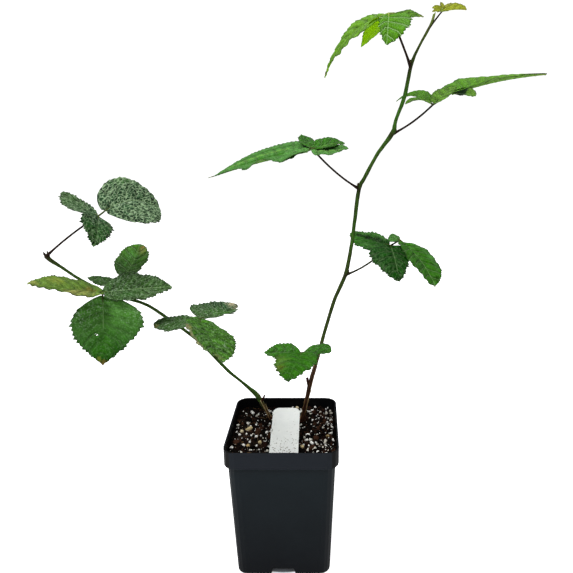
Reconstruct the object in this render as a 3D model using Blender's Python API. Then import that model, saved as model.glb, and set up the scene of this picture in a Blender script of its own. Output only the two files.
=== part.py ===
"""A young thornless bramble in a square nursery pot.

The origin is the centre of the pot's flat underside, +Z is up and the label leans back along +Y.
Two canes stand in the potting mix. Each compound leaf is one solid: a leaf stalk and its leaflets.
Headings are degrees round from +X towards +Y, and pitches are degrees above the horizontal.
"""

import math
import random
from collections import namedtuple

import bpy
from mathutils import Vector
from mathutils.geometry import intersect_point_line

MM = 0.001
UP = Vector((0, 0, 1))

# Clearance between solids that meet
GAP = 0.3 * MM

# Pot
POT_HEIGHT = 83.4 * MM
RIM_WIDTH = 63.5 * MM
RIM_BAND_HEIGHT = 10.2 * MM
BODY_TOP_WIDTH = 60 * MM
BODY_FOOT_WIDTH = 54.6 * MM
WALL = 1.0 * MM
FLOOR = 1.2 * MM
RIM_CORNER_RADIUS = 6.8 * MM
FOOT_CORNER_RADIUS = 6 * MM
CORNER_STEPS = 4

# Drainage notches at the middle of each side
NOTCH_FOOT_WIDTH = 15 * MM
NOTCH_TOP_WIDTH = 12 * MM
NOTCH_HEIGHT = 4.2 * MM
NOTCH_DEPTH = 10 * MM
DRAIN_SLOT = (8 * MM, 3 * MM)

# Potting mix
MIX_LEVEL = 77.2 * MM
MIX_WAVE = 0.6 * MM
LEVEL_RADIUS = 10 * MM
MIX_TOP_RINGS = 7

# Plant label
LABEL_WIDTH = 15.9 * MM
LABEL_THICKNESS = 0.6 * MM
LABEL_CORNER = 3.6 * MM
LABEL_SIDE_PLACE = 1.4 * MM
LABEL_FOOT = (-27.6 * MM, 50 * MM)
LABEL_BEND_START = (-28.2 * MM, 77.3 * MM)
LABEL_BEND_RADIUS = 3.5 * MM
LABEL_LEAN = 16
LABEL_SHOWING = 33 * MM
BEND_STEPS = 5

# Canes: control points as x, y, z and radius, in millimetres, from the foot up
FOOT_LEVEL = MIX_LEVEL + GAP
CANE_RIGHT = (
    (10, 12.5, 77.5, 2.1),
    (11, 12.5, 81, 1.45),
    (12.5, 12.5, 88.5, 1.3),
    (15.6, 11.5, 103.9, 1.3),
    (18.7, 10.5, 116, 1.09),
    (24.4, 9, 138.9, 0.93),
    (29.6, 8, 157.4, 0.91),
    (35.6, 6, 173.2, 1.02),
    (38.6, 5.5, 190, 0.91),
    (40.1, 5, 203.2, 0.9),
    (41.8, 2, 220.1, 1),
    (44.6, 1, 226.4, 0.9),
    (50.6, 0, 238, 0.82),
    (57.8, -2, 248.7, 1.11),
    (59.2, -3, 255, 0.77),
    (62.8, -4, 265.7, 0.85),
    (65.1, -6, 279.8, 0.78),
    (67.9, -7, 287.3, 0.5),
    (73.1, -8, 297.3, 0.51),
    (74.3, -8, 301.9, 0.25),
)
PRUNED_STUB = ((14.6, 11.7, 101.5, 0.9), (13.6, 11.3, 107.3, 0.75))
CANE_LEFT = (
    (-9, 15, 77.5, 1.7),
    (-10.5, 15, 80.5, 1.1),
    (-13.5, 15, 86, 1.2),
    (-17.5, 15, 94, 1.5),
    (-26.5, 14, 103.5, 0.8),
    (-34.9, 12.5, 112.4, 0.77),
    (-47.2, 9.5, 129, 0.75),
    (-55.2, 8, 137.3, 0.73),
    (-68.1, 5, 149.3, 0.73),
    (-78.3, 3, 157, 0.7),
    (-98.3, 1, 164.1, 0.78),
    (-104.8, 0, 168.2, 0.66),
    (-112.2, -0.5, 173.1, 0.61),
    (-118.5, -1, 178.2, 0.64),
    (-123.9, -2, 182.7, 0.93),
    (-126.4, -2.2, 185.3, 0.94),
)
OLD_STALK_STUB = ((-15.2, 14.6, 89, 0.7), (-12.6, 13.6, 94.6, 0.5))
CANE_SIDES = 7
CANE_STEPS = 2
FLARE_FADE = 3 * MM

# Leaf stalks
STALK_RADIUS = 0.55 * MM
LEAFLET_STALK_RADIUS = 0.42 * MM
STALK_SIDES = 5
STALK_STEPS = 5
STALK_SINK = 2.2 * MM

# Leaflet blades
MIN_THICKNESS = 0.42 * MM
THICKNESS_SHARE = 0.0115
BLADE_COLUMNS = (-1, -0.5, 0, 0.5, 1)
UNDERSIDE_COLUMNS = (1, 0, -1)
BULGE = 0.16
BASE_LOBE = 0.06
TOOTH_DEPTH = 0.085
TOOTH_JITTER = 0.35
TOOTH_FORWARD = 0.35
TOOTH_SPACING = 4.2 * MM
MOST_TEETH = 7
END_WIDTH = 0.35 * MM

# Blade outlines: the place of the widest part along the blade, and how full the base is
OUTLINES = {
    "ovate": (0.38, 0.50),
    "pointed": (0.34, 0.55),
    "round": (0.48, 0.50),
    "slim": (0.42, 0.62),
    "kite": (0.38, 0.72),
}

# Stalk: length, heading, pitch and its rise over the chord as a share of the length.
# Leaflet: its own stalk, length, width and the share of the width left of the midrib, then
# heading, pitch, roll, droop along the midrib, the tip's sideways sweep as a share of the length,
# and outline
Stalk = namedtuple("Stalk", "length heading pitch bow")
Leaflet = namedtuple("Leaflet", "stalk length width share heading pitch roll droop sweep outline")
Leaf = namedtuple("Leaf", "cane height fold whorls")

LEAVES = {
    "leaf_left_low": Leaf("cane_left", 121.6, 8, (
        (Stalk(34.5, -100, 59, 0), (
            Leaflet(1.3, 41.3, 28, 0.49, -61, -14, 23.5, 3, 0.03, "slim"),
            Leaflet(2, 23.5, 14.5, 0.72, -179, -7, 19, 5, 0.04, "round"),
            Leaflet(3.7, 29.5, 28, 0.64, 61, 0, 0, -14, -0.05, "ovate"),
        )),
    )),
    "leaf_left_middle": Leaf("cane_left", 161.3, 6, (
        (Stalk(18.5, -98, 23, 0), (
            Leaflet(2.9, 35.2, 37.2, 0.57, -80, -61.2, -5.9, -16.6, -0.01, "kite"),
            Leaflet(1.2, 34, 27, 0.43, -143, 18, 7, -6, 0, "ovate"),
            Leaflet(1.5, 34, 26, 0.53, 23, -1, -20, 7, 0.01, "ovate"),
        )),
    )),
    "leaf_left_rear": Leaf("cane_left", 162.8, 6, (
        (Stalk(13, 95, 14, 0), (
            Leaflet(7.3, 25.5, 21.5, 0.54, 74, 35, -1, -20, -0.09, "round"),
            Leaflet(1.6, 15.5, 9.5, 0.59, -173, 10, 20, 0, 0.1, "ovate"),
            Leaflet(1, 12.5, 8.5, 0.5, 3, -2, -14, 4, 0, "ovate"),
        )),
    )),
    "leaf_left_end": Leaf("cane_left", 185, 8, (
        (Stalk(36, 8, 36, 0.03), (
            Leaflet(5.5, 33.5, 40, 0.42, 47, -2, -36, 66, 0.02, "round"),
            Leaflet(1.6, 25.5, 15, 0.72, 161, 26, 6, -1, 0.1, "slim"),
            Leaflet(1, 26.2, 17.7, 0.44, -69, -30.1, 34.4, 17.4, 0.13, "pointed"),
        )),
    )),
    "leaf_right_low": Leaf("cane_right", 118, 8, (
        (Stalk(20.5, -120, 36, 0), (
            Leaflet(0.4, 30, 24, 0.52, -103, -7, -3, 23, -0.02, "ovate"),
            Leaflet(1.4, 20, 14, 0.49, 175, -2, 18, 6, 0.01, "slim"),
            Leaflet(1.9, 16, 14, 0.61, -21, 10, -5, 7, 0.01, "round"),
        )),
    )),
    "leaf_right_middle": Leaf("cane_right", 172.6, 8, (
        (Stalk(30, 5, 33, -0.07), (
            Leaflet(0.6, 30.5, 21, 0.37, -88, -26, -4, 35, -0.01, "ovate"),
            Leaflet(1.8, 24, 18, 0.64, 150, 10, 22, -1, 0.02, "ovate"),
        )),
        (Stalk(6, -2, 30, 0), (
            Leaflet(3, 34.5, 22.5, 0.49, -55, -30, 9, 17, 0.2, "round"),
            Leaflet(0.5, 6.5, 8, 0.74, 137, 23, 22, -13, 0.08, "ovate"),
        )),
    )),
    "leaf_crossing": Leaf("cane_right", 220.5, 8, (
        (Stalk(33, -160, 38, -0.05), (
            Leaflet(3.1, 52.2, 35.8, 0.46, 165, -14, 14, 7.7, -0.05, "ovate"),
            Leaflet(2, 15, 13, 0.35, -161, -22, 9, 24, -0.01, "round"),
            Leaflet(1.8, 16, 8.5, 0.54, 113, 25, 2, 3, 0.01, "kite"),
            Leaflet(1.1, 16, 13.5, 0.55, 13, 10, -19, 27, 0.04, "ovate"),
            Leaflet(0.4, 18, 14.5, 0.38, -16, 2, -24, -8, 0, "ovate"),
        )),
    )),
    "leaf_right_high": Leaf("cane_right", 248, 6, (
        (Stalk(27, 17, 33, -0.05), (
            Leaflet(2.7, 20.2, 10.5, 0.28, 147.5, 1.5, 17.7, 73.7, 0.07, "ovate"),
            Leaflet(2.2, 14, 10.5, 0.56, -167, -4, 11, 65, 0.01, "ovate"),
            Leaflet(1.8, 15.5, 11, 0.46, -62, 26, 2, 19, -0.04, "ovate"),
        )),
        (Stalk(11.5, 18, 30, 0), (
            Leaflet(0.9, 53, 39.5, 0.66, 14.5, 11, -3, 14.5, 0.07, "ovate"),
            Leaflet(1.5, 11.5, 10, 0.45, -6, -6, 17, 26, -0.02, "round"),
        )),
    )),
    "leaf_top": Leaf("cane_right", 279, 8, (
        (Stalk(26.5, -145, 55, 0.04), (
            Leaflet(3.6, 37, 21.5, 0.61, 154, -40.3, 35.5, 56, 0.11, "kite"),
            Leaflet(3.1, 15.5, 12.5, 0.5, 153, -48, -7, 14, -0.11, "pointed"),
            Leaflet(2.1, 23.5, 14.5, 0.71, -98, -41, 0, 26, 0.01, "ovate"),
            Leaflet(2.9, 14.5, 10, 0.61, 13, -2, 4, 10, -0.05, "kite"),
        )),
    )),
    "leaf_tip": Leaf("cane_right", 296, 38, (
        (Stalk(9, -12, 51, 0), (
            Leaflet(0.5, 11.5, 8, 0.47, 9, 4, -15, 21, 0, "ovate"),
            Leaflet(0.4, 5, 3.6, 0.55, 150, 20, -16, 10, 0, "ovate"),
            Leaflet(1.2, 4.5, 3, 0.5, 205, -10, 10, 13, 0, "ovate"),
            Leaflet(1, 4.2, 2.6, 0.5, 100, 58, 0, 10, 0, "pointed"),
        )),
    )),
}


def clear_scene():
    for item in list(bpy.data.objects):
        bpy.data.objects.remove(item)


def material(name, colour, roughness):
    made = bpy.data.materials.new(name)
    made.use_nodes = True
    shader = made.node_tree.nodes["Principled BSDF"]
    shader.inputs["Base Color"].default_value = (*colour, 1)
    shader.inputs["Roughness"].default_value = roughness
    shader.inputs["Metallic"].default_value = 0
    return made


def lofted(name, rings, finish, sharp_angle=35):
    """A closed object over rings of equally many points, capped by its first and last ring."""
    count = len(rings[0])
    corners = [tuple(point) for ring in rings for point in ring]
    faces = []
    for level in range(len(rings) - 1):
        low = level * count
        for i in range(count):
            j = (i + 1) % count
            faces.append((low + i, low + j, low + count + j, low + count + i))
    faces.append(tuple(reversed(range(count))))
    faces.append(tuple(range(len(corners) - count, len(corners))))
    mesh = bpy.data.meshes.new(name)
    mesh.from_pydata(corners, [], faces)
    mesh.shade_smooth()
    mesh.set_sharp_from_angle(angle=math.radians(sharp_angle))
    mesh.materials.append(finish)
    made = bpy.data.objects.new(name, mesh)
    bpy.context.scene.collection.objects.link(made)
    return made


def helper(item):
    item.hide_render = True
    item.display_type = "WIRE"
    return item


def combine(target, others, operation):
    """Joins or cuts the target with all the others in one Boolean, which is applied."""
    group = bpy.data.collections.new("operands")
    for item in others:
        bpy.context.scene.collection.objects.unlink(item)
        group.objects.link(helper(item))
    modifier = target.modifiers.new(operation.lower(), "BOOLEAN")
    modifier.operation = operation
    modifier.operand_type = "COLLECTION"
    modifier.collection = group
    modifier.solver = "EXACT"
    finished = bpy.data.meshes.new_from_object(target.evaluated_get(bpy.context.evaluated_depsgraph_get()))
    target.modifiers.clear()
    target.data = finished
    for item in others:
        bpy.data.objects.remove(item)
    bpy.data.collections.remove(group)
    return target


def rounded_square(width, radius, height):
    """One level ring, counter-clockwise seen from above, with an arc at each corner."""
    inset = width / 2 - radius
    ring = []
    for corner in range(4):
        centre = Vector((inset, inset)) if corner == 0 else Vector((-inset, inset))
        if corner in (2, 3):
            centre = Vector((-inset, -inset)) if corner == 2 else Vector((inset, -inset))
        for step in range(CORNER_STEPS + 1):
            angle = math.radians(90 * (corner + step / CORNER_STEPS))
            ring.append((centre.x + radius * math.cos(angle), centre.y + radius * math.sin(angle), height))
    return ring


def inner_ring(height, clearance):
    """The inside of the pot at a height, drawn in by a clearance."""
    if height > POT_HEIGHT - RIM_BAND_HEIGHT + WALL / 2:
        width = RIM_WIDTH
        radius = RIM_CORNER_RADIUS
    else:
        share = height / (POT_HEIGHT - RIM_BAND_HEIGHT)
        width = BODY_FOOT_WIDTH + (BODY_TOP_WIDTH - BODY_FOOT_WIDTH) * share
        radius = FOOT_CORNER_RADIUS + (RIM_CORNER_RADIUS - FOOT_CORNER_RADIUS) * share
    draw_in = WALL + clearance
    return rounded_square(width - 2 * draw_in, radius - draw_in, height)


def block(name, size_x, size_y, place, finish):
    """An upright box; its place gives the middle in x and y, then the heights of its two ends."""
    x, y, low, high = place
    corners = ((-1, -1), (1, -1), (1, 1), (-1, 1))
    rings = [[(x + i * size_x / 2, y + j * size_y / 2, z) for i, j in corners] for z in (low, high)]
    return lofted(name, rings, finish)


def notch_prisms(extra, finish):
    """The space of each drainage notch, grown by a margin, on the four sides in turn."""
    prisms = []
    for side in range(4):
        turn = math.radians(90 * side)
        rings = []
        for y in (-BODY_FOOT_WIDTH / 2 - WALL, -BODY_FOOT_WIDTH / 2 + NOTCH_DEPTH + extra):
            foot = NOTCH_FOOT_WIDTH / 2 + extra
            top = NOTCH_TOP_WIDTH / 2 + extra
            low = -WALL
            high = NOTCH_HEIGHT + extra
            section = ((-foot, low), (-top, high), (top, high), (foot, low))
            rings.append([
                (x * math.cos(turn) - y * math.sin(turn), x * math.sin(turn) + y * math.cos(turn), z)
                for x, z in section
            ])
        prisms.append(lofted("notch", rings, finish))
    return prisms


def drain_slots(finish):
    """A narrow slot through the roof of each notch."""
    slots = []
    reach = BODY_FOOT_WIDTH / 2 - NOTCH_DEPTH / 2
    for side in range(4):
        turn = math.radians(90 * side)
        along, across = DRAIN_SLOT if side % 2 == 0 else reversed(DRAIN_SLOT)
        x = reach * math.sin(turn)
        y = -reach * math.cos(turn)
        slots.append(block("slot", along, across, (x, y, NOTCH_HEIGHT / 2, NOTCH_HEIGHT * 2), finish))
    return slots


def make_pot(finish):
    """A thin tapered shell with a stepped rim, raised over four drainage notches."""
    ledge = POT_HEIGHT - RIM_BAND_HEIGHT
    foot_round = 1.2 * MM
    rings = [
        rounded_square(BODY_FOOT_WIDTH - foot_round, FOOT_CORNER_RADIUS - foot_round / 2, 0),
        rounded_square(BODY_FOOT_WIDTH, FOOT_CORNER_RADIUS, foot_round / 2),
        rounded_square(BODY_TOP_WIDTH, RIM_CORNER_RADIUS, ledge - WALL),
        rounded_square(RIM_WIDTH, RIM_CORNER_RADIUS, ledge + WALL / 2),
        rounded_square(RIM_WIDTH, RIM_CORNER_RADIUS, POT_HEIGHT),
        inner_ring(POT_HEIGHT, 0),
        inner_ring(ledge + WALL, 0),
        inner_ring(ledge - WALL / 2, 0),
        inner_ring(FLOOR, 0),
    ]
    pot = lofted("pot", rings, finish)
    wall_line = BODY_FOOT_WIDTH - WALL
    keep_in = lofted("keep_in", [rounded_square(wall_line, FOOT_CORNER_RADIUS, z) for z in (FLOOR / 2, ledge)],
                     finish)
    roofs = notch_prisms(WALL, finish)
    for roof in roofs:
        limit = roof.modifiers.new("inside the wall", "BOOLEAN")
        limit.operation = "INTERSECT"
        limit.object = keep_in
        trimmed = roof.evaluated_get(bpy.context.evaluated_depsgraph_get())
        roof.data = bpy.data.meshes.new_from_object(trimmed)
        roof.modifiers.clear()
    combine(pot, roofs, "UNION")
    bpy.data.objects.remove(keep_in)
    combine(pot, notch_prisms(0, finish) + drain_slots(finish), "DIFFERENCE")
    return pot


def mix_height(x, y):
    """The level of the potting mix: flat round each cane's foot and gently uneven elsewhere."""
    wave = math.sin(x / (5.1 * MM)) * math.cos(y / (6.3 * MM)) + 0.5 * math.sin((x + 2 * y) / (7.7 * MM))
    away = min(math.hypot(x - foot[0] * MM, y - foot[1] * MM) for foot in (CANE_RIGHT[0], CANE_LEFT[0]))
    fade = min(1, max(0, away / LEVEL_RADIUS - 0.6))
    return MIX_LEVEL - fade * MIX_WAVE * (0.5 + 0.33 * wave)


def make_mix(finish, label_space):
    """The potting mix fills the pot and has a slot for the label."""
    ledge = POT_HEIGHT - RIM_BAND_HEIGHT
    rings = [
        inner_ring(FLOOR + GAP, GAP),
        inner_ring(ledge - WALL / 2 + GAP / 2, GAP),
        inner_ring(ledge + WALL + GAP / 2, GAP),
    ]
    edge = inner_ring(POT_HEIGHT, GAP)
    for step in range(MIX_TOP_RINGS):
        scale = 1 - step / MIX_TOP_RINGS
        rings.append([(x * scale, y * scale, mix_height(x * scale, y * scale)) for x, y, z in edge])
    mix = lofted("potting_mix", rings, finish)
    return combine(mix, notch_prisms(WALL + GAP, finish) + [label_space], "DIFFERENCE")


def label_profile():
    """The label's middle line from its buried foot, round the bend, to its free end."""
    y, z = LABEL_BEND_START
    points = [LABEL_FOOT, LABEL_BEND_START]
    rising = math.atan2(z - LABEL_FOOT[1], y - LABEL_FOOT[0])
    lean = math.radians(LABEL_LEAN)
    for step in range(1, BEND_STEPS + 1):
        slope = rising + (lean - rising) * step / BEND_STEPS
        across = LABEL_BEND_RADIUS * (math.sin(rising) - math.sin(slope))
        points.append((y + across, z + LABEL_BEND_RADIUS * (math.cos(slope) - math.cos(rising))))
    start_y, start_z = points[-1]
    straight = LABEL_SHOWING - LABEL_CORNER
    for step in range(BEND_STEPS + 1):
        run = straight + LABEL_CORNER * math.sin(math.radians(90 * step / BEND_STEPS))
        points.append((start_y + run * math.cos(lean), start_z + run * math.sin(lean)))
    return points


def label_solid(name, extra, finish):
    """The label as a strip along its profile, with two rounded corners at its free end."""
    profile = label_profile()
    rings = []
    for i, (y, z) in enumerate(profile):
        before = profile[max(i - 1, 0)]
        after = profile[min(i + 1, len(profile) - 1)]
        if i > len(profile) - BEND_STEPS - 1:
            before = profile[-BEND_STEPS - 2]
        along = Vector((after[0] - before[0], after[1] - before[1])).normalized()
        half = LABEL_THICKNESS / 2 + extra
        rise = (-along.y * half, along.x * half)
        corner_step = max(0, i - (len(profile) - BEND_STEPS - 1))
        corner = LABEL_CORNER * (1 - math.cos(math.radians(90 * corner_step / BEND_STEPS)))
        wide = LABEL_WIDTH / 2 - corner + extra
        left = LABEL_SIDE_PLACE - wide
        right = LABEL_SIDE_PLACE + wide
        rings.append([
            (left, y + rise[0], z + rise[1]),
            (right, y + rise[0], z + rise[1]),
            (right, y - rise[0], z - rise[1]),
            (left, y - rise[0], z - rise[1]),
        ])
    return lofted(name, rings, finish)


def smooth_path(controls, steps):
    """Points with radii along a curve through the control points, in metres."""
    rows = [Vector(c[:3]).to_4d() for c in controls]
    for row, control in zip(rows, controls):
        row.w = control[3]
    path = []
    for i in range(len(rows) - 1):
        before = rows[max(i - 1, 0)]
        here = rows[i]
        there = rows[i + 1]
        after = rows[min(i + 2, len(rows) - 1)]
        for step in range(steps):
            t = step / steps
            bend = 2 * here + (there - before) * t
            bend += (2 * before - 5 * here + 4 * there - after) * t**2
            bend += (3 * here - before - 3 * there + after) * t**3
            path.append(bend / 2 * MM)
    path.append(rows[-1] * MM)
    return [(Vector(p[:3]), p[3]) for p in path]


def ring_round(centre, tangent, radius, sides, side_hint):
    across = (side_hint - tangent * side_hint.dot(tangent)).normalized()
    upward = tangent.cross(across)
    ring = []
    for k in range(sides):
        angle = 2 * math.pi * k / sides
        ring.append(centre + radius * (math.cos(angle) * across + math.sin(angle) * upward))
    return ring, across


def tube(name, path, sides, finish, cut_level=None):
    """A tapered tube along the path; its foot is cut level at cut_level where that is given."""
    rings = []
    hint = Vector((0.3, 1, 0.1))
    for i, (centre, radius) in enumerate(path):
        before = path[max(i - 1, 0)][0]
        after = path[min(i + 1, len(path) - 1)][0]
        tangent = (after - before).normalized()
        ring, hint = ring_round(centre, tangent, radius, sides, hint)
        if i == 0 and cut_level is not None:
            ring = [point + tangent * ((cut_level - point.z) / tangent.z) for point in ring]
        rings.append(ring)
    return lofted(name, rings, finish, sharp_angle=60)


def make_cane(name, controls, stub, finish):
    cane = tube(name, smooth_path(controls, CANE_STEPS), CANE_SIDES, finish, FOOT_LEVEL)
    side_stub = tube("stub", smooth_path(stub, 1), STALK_SIDES, finish)
    return combine(cane, [side_stub], "UNION")


def place_on_cane(path, height):
    """The point and the direction of a cane's axis at a height."""
    for (low, low_radius), (high, high_radius) in zip(path, path[1:]):
        if low.z <= height <= high.z:
            return low.lerp(high, (height - low.z) / (high.z - low.z)), (high - low).normalized()
    raise ValueError("no point of the cane at this height")


def room_beside_cane(path, point):
    """How far a point lies from the surface of a cane."""
    rooms = []
    for (low, low_radius), (high, high_radius) in zip(path, path[1:]):
        nearest, share = intersect_point_line(point, low, high)
        share = min(max(share, 0), 1)
        radius = low_radius + (high_radius - low_radius) * share
        rooms.append((point - low.lerp(high, share)).length - radius)
    return min(rooms)


def clear_start(path, axis, way, turn):
    """The first point along a stalk from the cane's axis where its whole end is clear of the cane."""
    needed = GAP + STALK_RADIUS * abs(math.cos(turn))
    start = axis
    while room_beside_cane(path, start) < needed:
        start = start + way * STALK_RADIUS / 10
    return start


def direction(heading, pitch):
    level = math.cos(math.radians(pitch))
    return Vector((
        level * math.cos(math.radians(heading)),
        level * math.sin(math.radians(heading)),
        math.sin(math.radians(pitch)),
    ))


def bowed_path(start, end, bow, radius_start, radius_end):
    """A line that rises above its chord by a share of its length, as points with radii."""
    length = (end - start).length
    path = []
    for step in range(STALK_STEPS + 1):
        t = step / STALK_STEPS
        point = start.lerp(end, t) + UP * (4 * t * (1 - t) * bow * length)
        path.append((point, radius_start + (radius_end - radius_start) * t))
    return path


def half_width(share_along, outline):
    """The blade's half width at a share of its length, as a share of its widest."""
    widest, fullness = OUTLINES[outline]
    tip_power = fullness * (1 - widest) / widest
    return (share_along / widest) ** fullness * ((1 - share_along) / (1 - widest)) ** tip_power


def blade_frame(leaflet, base, along):
    """The midrib's point, its side direction and its upward direction at a share of the length."""
    droop = math.radians(leaflet.droop) or 1e-4
    start = math.radians(leaflet.pitch) + droop / 2
    slope = start - droop * along
    length = leaflet.length * MM
    level = length * (math.sin(start) - math.sin(slope)) / droop
    rise = length * (math.cos(slope) - math.cos(start)) / droop
    ahead = direction(leaflet.heading, 0)
    tangent = ahead * math.cos(slope) + UP * math.sin(slope)
    flat_side = Vector((ahead.y, -ahead.x, 0))
    flat_up = flat_side.cross(tangent)
    roll = math.radians(leaflet.roll)
    side = flat_side * math.cos(roll) + flat_up * math.sin(roll)
    upward = flat_up * math.cos(roll) - flat_side * math.sin(roll)
    return base + ahead * level + UP * rise, side, upward


def blade_point(leaflet, base, fold, along, across, tooth):
    """A point of the blade: each half rises from the midrib and bulges between it and the edge."""
    lobe = BASE_LOBE * abs(across) * (1 - along) ** 6
    middle, side, upward = blade_frame(leaflet, base, along - lobe)
    middle = middle + side * leaflet.sweep * leaflet.length * MM * along**2
    share = leaflet.share if across < 0 else 1 - leaflet.share
    reach = leaflet.width * MM * share * half_width(along, leaflet.outline) * abs(across)
    reach = max(reach * tooth, END_WIDTH * abs(across))
    lift = reach * (math.sin(math.radians(fold)) + BULGE * (1 - abs(across)))
    return middle + side * math.copysign(reach, across) * math.cos(math.radians(fold)) + upward * lift


def make_blade(leaflet, base, fold, finish, seed):
    """One leaflet blade as a thin closed solid with forward-pointing teeth."""
    dice = random.Random(seed)
    teeth = max(2, min(MOST_TEETH, round(leaflet.length * MM / TOOTH_SPACING)))
    thick = max(MIN_THICKNESS, leaflet.length * MM * THICKNESS_SHARE)
    rows = 2 * teeth
    rings = []
    for row in range(rows + 1):
        along = min(max(row / rows, 0.012), 0.995)
        is_tip = row % 2 == 1
        tooth_sides = {}
        for side in (-1, 1):
            depth = TOOTH_DEPTH * (1 + TOOTH_JITTER * dice.uniform(-1, 1))
            tooth_sides[side] = 1 + depth if is_tip else 1 - depth
        top = []
        for column in BLADE_COLUMNS:
            edge = abs(column) == 1
            tooth = tooth_sides[column] if edge else 1
            forward = TOOTH_FORWARD / rows if edge and is_tip else 0
            place = min(along + forward, 0.995)
            top.append(blade_point(leaflet, base, fold, place, column, tooth))
        downward = -blade_frame(leaflet, base, along)[2] * thick
        under = [top[BLADE_COLUMNS.index(column)] + downward for column in UNDERSIDE_COLUMNS]
        rings.append(top + under)
    return lofted("blade", rings, finish)


def leaflet_solids(leaflet, junction, fold, finish, seed):
    """The blade, and the little stalk that runs from the junction well into it."""
    start_pitch = leaflet.pitch + leaflet.droop / 2
    base = junction + direction(leaflet.heading, start_pitch) * leaflet.stalk * MM
    blade = make_blade(leaflet, base, fold, finish, seed)
    reach = min(STALK_SINK / (leaflet.length * MM), 0.35)
    middle, side, upward = blade_frame(leaflet, base, reach)
    path = [
        (junction, STALK_RADIUS * 0.95),
        (base, LEAFLET_STALK_RADIUS),
        (middle - upward * MIN_THICKNESS / 2, LEAFLET_STALK_RADIUS * 0.7),
    ]
    return [blade, tube("leaflet_stalk", path, STALK_SIDES, finish)]


def make_leaf(name, leaf, canes, finish):
    """One compound leaf: its stalk starts clear of the cane and all its parts are joined."""
    path = smooth_path(canes[leaf.cane], CANE_STEPS)
    axis, along = place_on_cane(path, leaf.height * MM)
    first = leaf.whorls[0][0]
    way = direction(first.heading, first.pitch)
    start = clear_start(path, axis, way, way.angle(along))
    solids = []
    origin = axis
    for order, (stalk, leaflets) in enumerate(leaf.whorls):
        junction = origin + direction(stalk.heading, stalk.pitch) * stalk.length * MM
        taper = 0.1 * order
        path = bowed_path(start, junction, stalk.bow, STALK_RADIUS * (1 - taper), STALK_RADIUS * (0.9 - taper))
        solids.append(tube("leaf_stalk", path, STALK_SIDES, finish))
        for number, leaflet in enumerate(leaflets):
            seed = f"{name} {order} {number}"
            solids += leaflet_solids(leaflet, junction, leaf.fold, finish, seed)
        start = junction
        origin = junction
    solids[0].name = name
    solids[0].data.name = name
    return combine(solids[0], solids[1:], "UNION")


def main():
    clear_scene()
    plastic = material("black_polypropylene", (0.016, 0.019, 0.024), 0.45)
    earth = material("peat_mix", (0.030, 0.019, 0.012), 0.95)
    card = material("white_label_plastic", (0.80, 0.80, 0.78), 0.5)
    green_bark = material("green_cane", (0.060, 0.130, 0.025), 0.5)
    leaf_green = material("leaf_green", (0.050, 0.190, 0.030), 0.55)
    make_pot(plastic)
    make_mix(earth, label_solid("label_space", GAP, card))
    label_solid("plant_label", 0, card)
    make_cane("cane_right", CANE_RIGHT, PRUNED_STUB, green_bark)
    make_cane("cane_left", CANE_LEFT, OLD_STALK_STUB, green_bark)
    canes = {"cane_right": CANE_RIGHT, "cane_left": CANE_LEFT}
    for name, leaf in LEAVES.items():
        make_leaf(name, leaf, canes, leaf_green)


main()
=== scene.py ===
# %% [markdown]
# This lesson dresses a young bramble in a square nursery pot.
# The solids come in first, and every piece made here stands where they stand.

# %% Load the solids
import math
import random
from collections import namedtuple

import bpy
import numpy as np
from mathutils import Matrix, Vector, noise


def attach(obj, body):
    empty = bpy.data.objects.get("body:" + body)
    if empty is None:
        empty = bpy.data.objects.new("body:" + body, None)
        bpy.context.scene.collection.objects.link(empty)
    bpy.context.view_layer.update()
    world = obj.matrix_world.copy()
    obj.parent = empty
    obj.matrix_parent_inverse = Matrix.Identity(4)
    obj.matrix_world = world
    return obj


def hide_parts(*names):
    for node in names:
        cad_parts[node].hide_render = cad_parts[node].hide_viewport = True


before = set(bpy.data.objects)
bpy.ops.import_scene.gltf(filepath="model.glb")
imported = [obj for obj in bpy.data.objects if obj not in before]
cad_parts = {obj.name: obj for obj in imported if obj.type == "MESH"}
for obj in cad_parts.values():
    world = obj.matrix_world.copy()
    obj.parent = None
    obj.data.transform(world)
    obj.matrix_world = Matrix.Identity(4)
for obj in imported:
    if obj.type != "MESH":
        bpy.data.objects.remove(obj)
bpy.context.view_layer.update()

MM = 0.001
print("solids loaded:", len(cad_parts))

# %% [markdown]
# The eye point is low in front of the pot and looks down a little.
# A short lens near the plant gives the strong taper of the pot's sides.
# The view is shifted sideways rather than turned, so the rim stays level in the picture.

# %% Place the camera
LOOK_DOWN = 15.47
eye = bpy.data.objects.new("camera", bpy.data.cameras.new("camera"))
bpy.context.scene.collection.objects.link(eye)
eye.location = (20.2 * MM, -275.7 * MM, 243.9 * MM)
eye.rotation_euler = (math.radians(90 - LOOK_DOWN), 0, 0)
eye.data.lens = 32.61
eye.data.sensor_width = 36
eye.data.shift_x = -0.055
eye.data.clip_start = 0.01
bpy.context.scene.camera = eye
print("camera stands", round(-eye.location.y / MM), "mm in front of the pot's middle")

# %% [markdown]
# Small values are written the way a paint chart gives them, as hex colours.
# One function turns them into the linear numbers that Blender mixes with.
# Another adds one node of any kind with its settings and links, and hands back its output.

# %% Small helpers
def colour(code):
    """A hex paint colour as linear red, green, blue and alpha."""
    parts = [int(code[i:i + 2], 16) / 255 for i in (1, 3, 5)]
    linear = [p / 12.92 if p <= 0.04045 else ((p + 0.055) / 1.055) ** 2.4 for p in parts]
    return (*linear, 1.0)


def new_material(name):
    """A material with an empty node sheet."""
    made = bpy.data.materials.new(name)
    made.use_nodes = True
    made.node_tree.nodes.clear()
    return made


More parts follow.
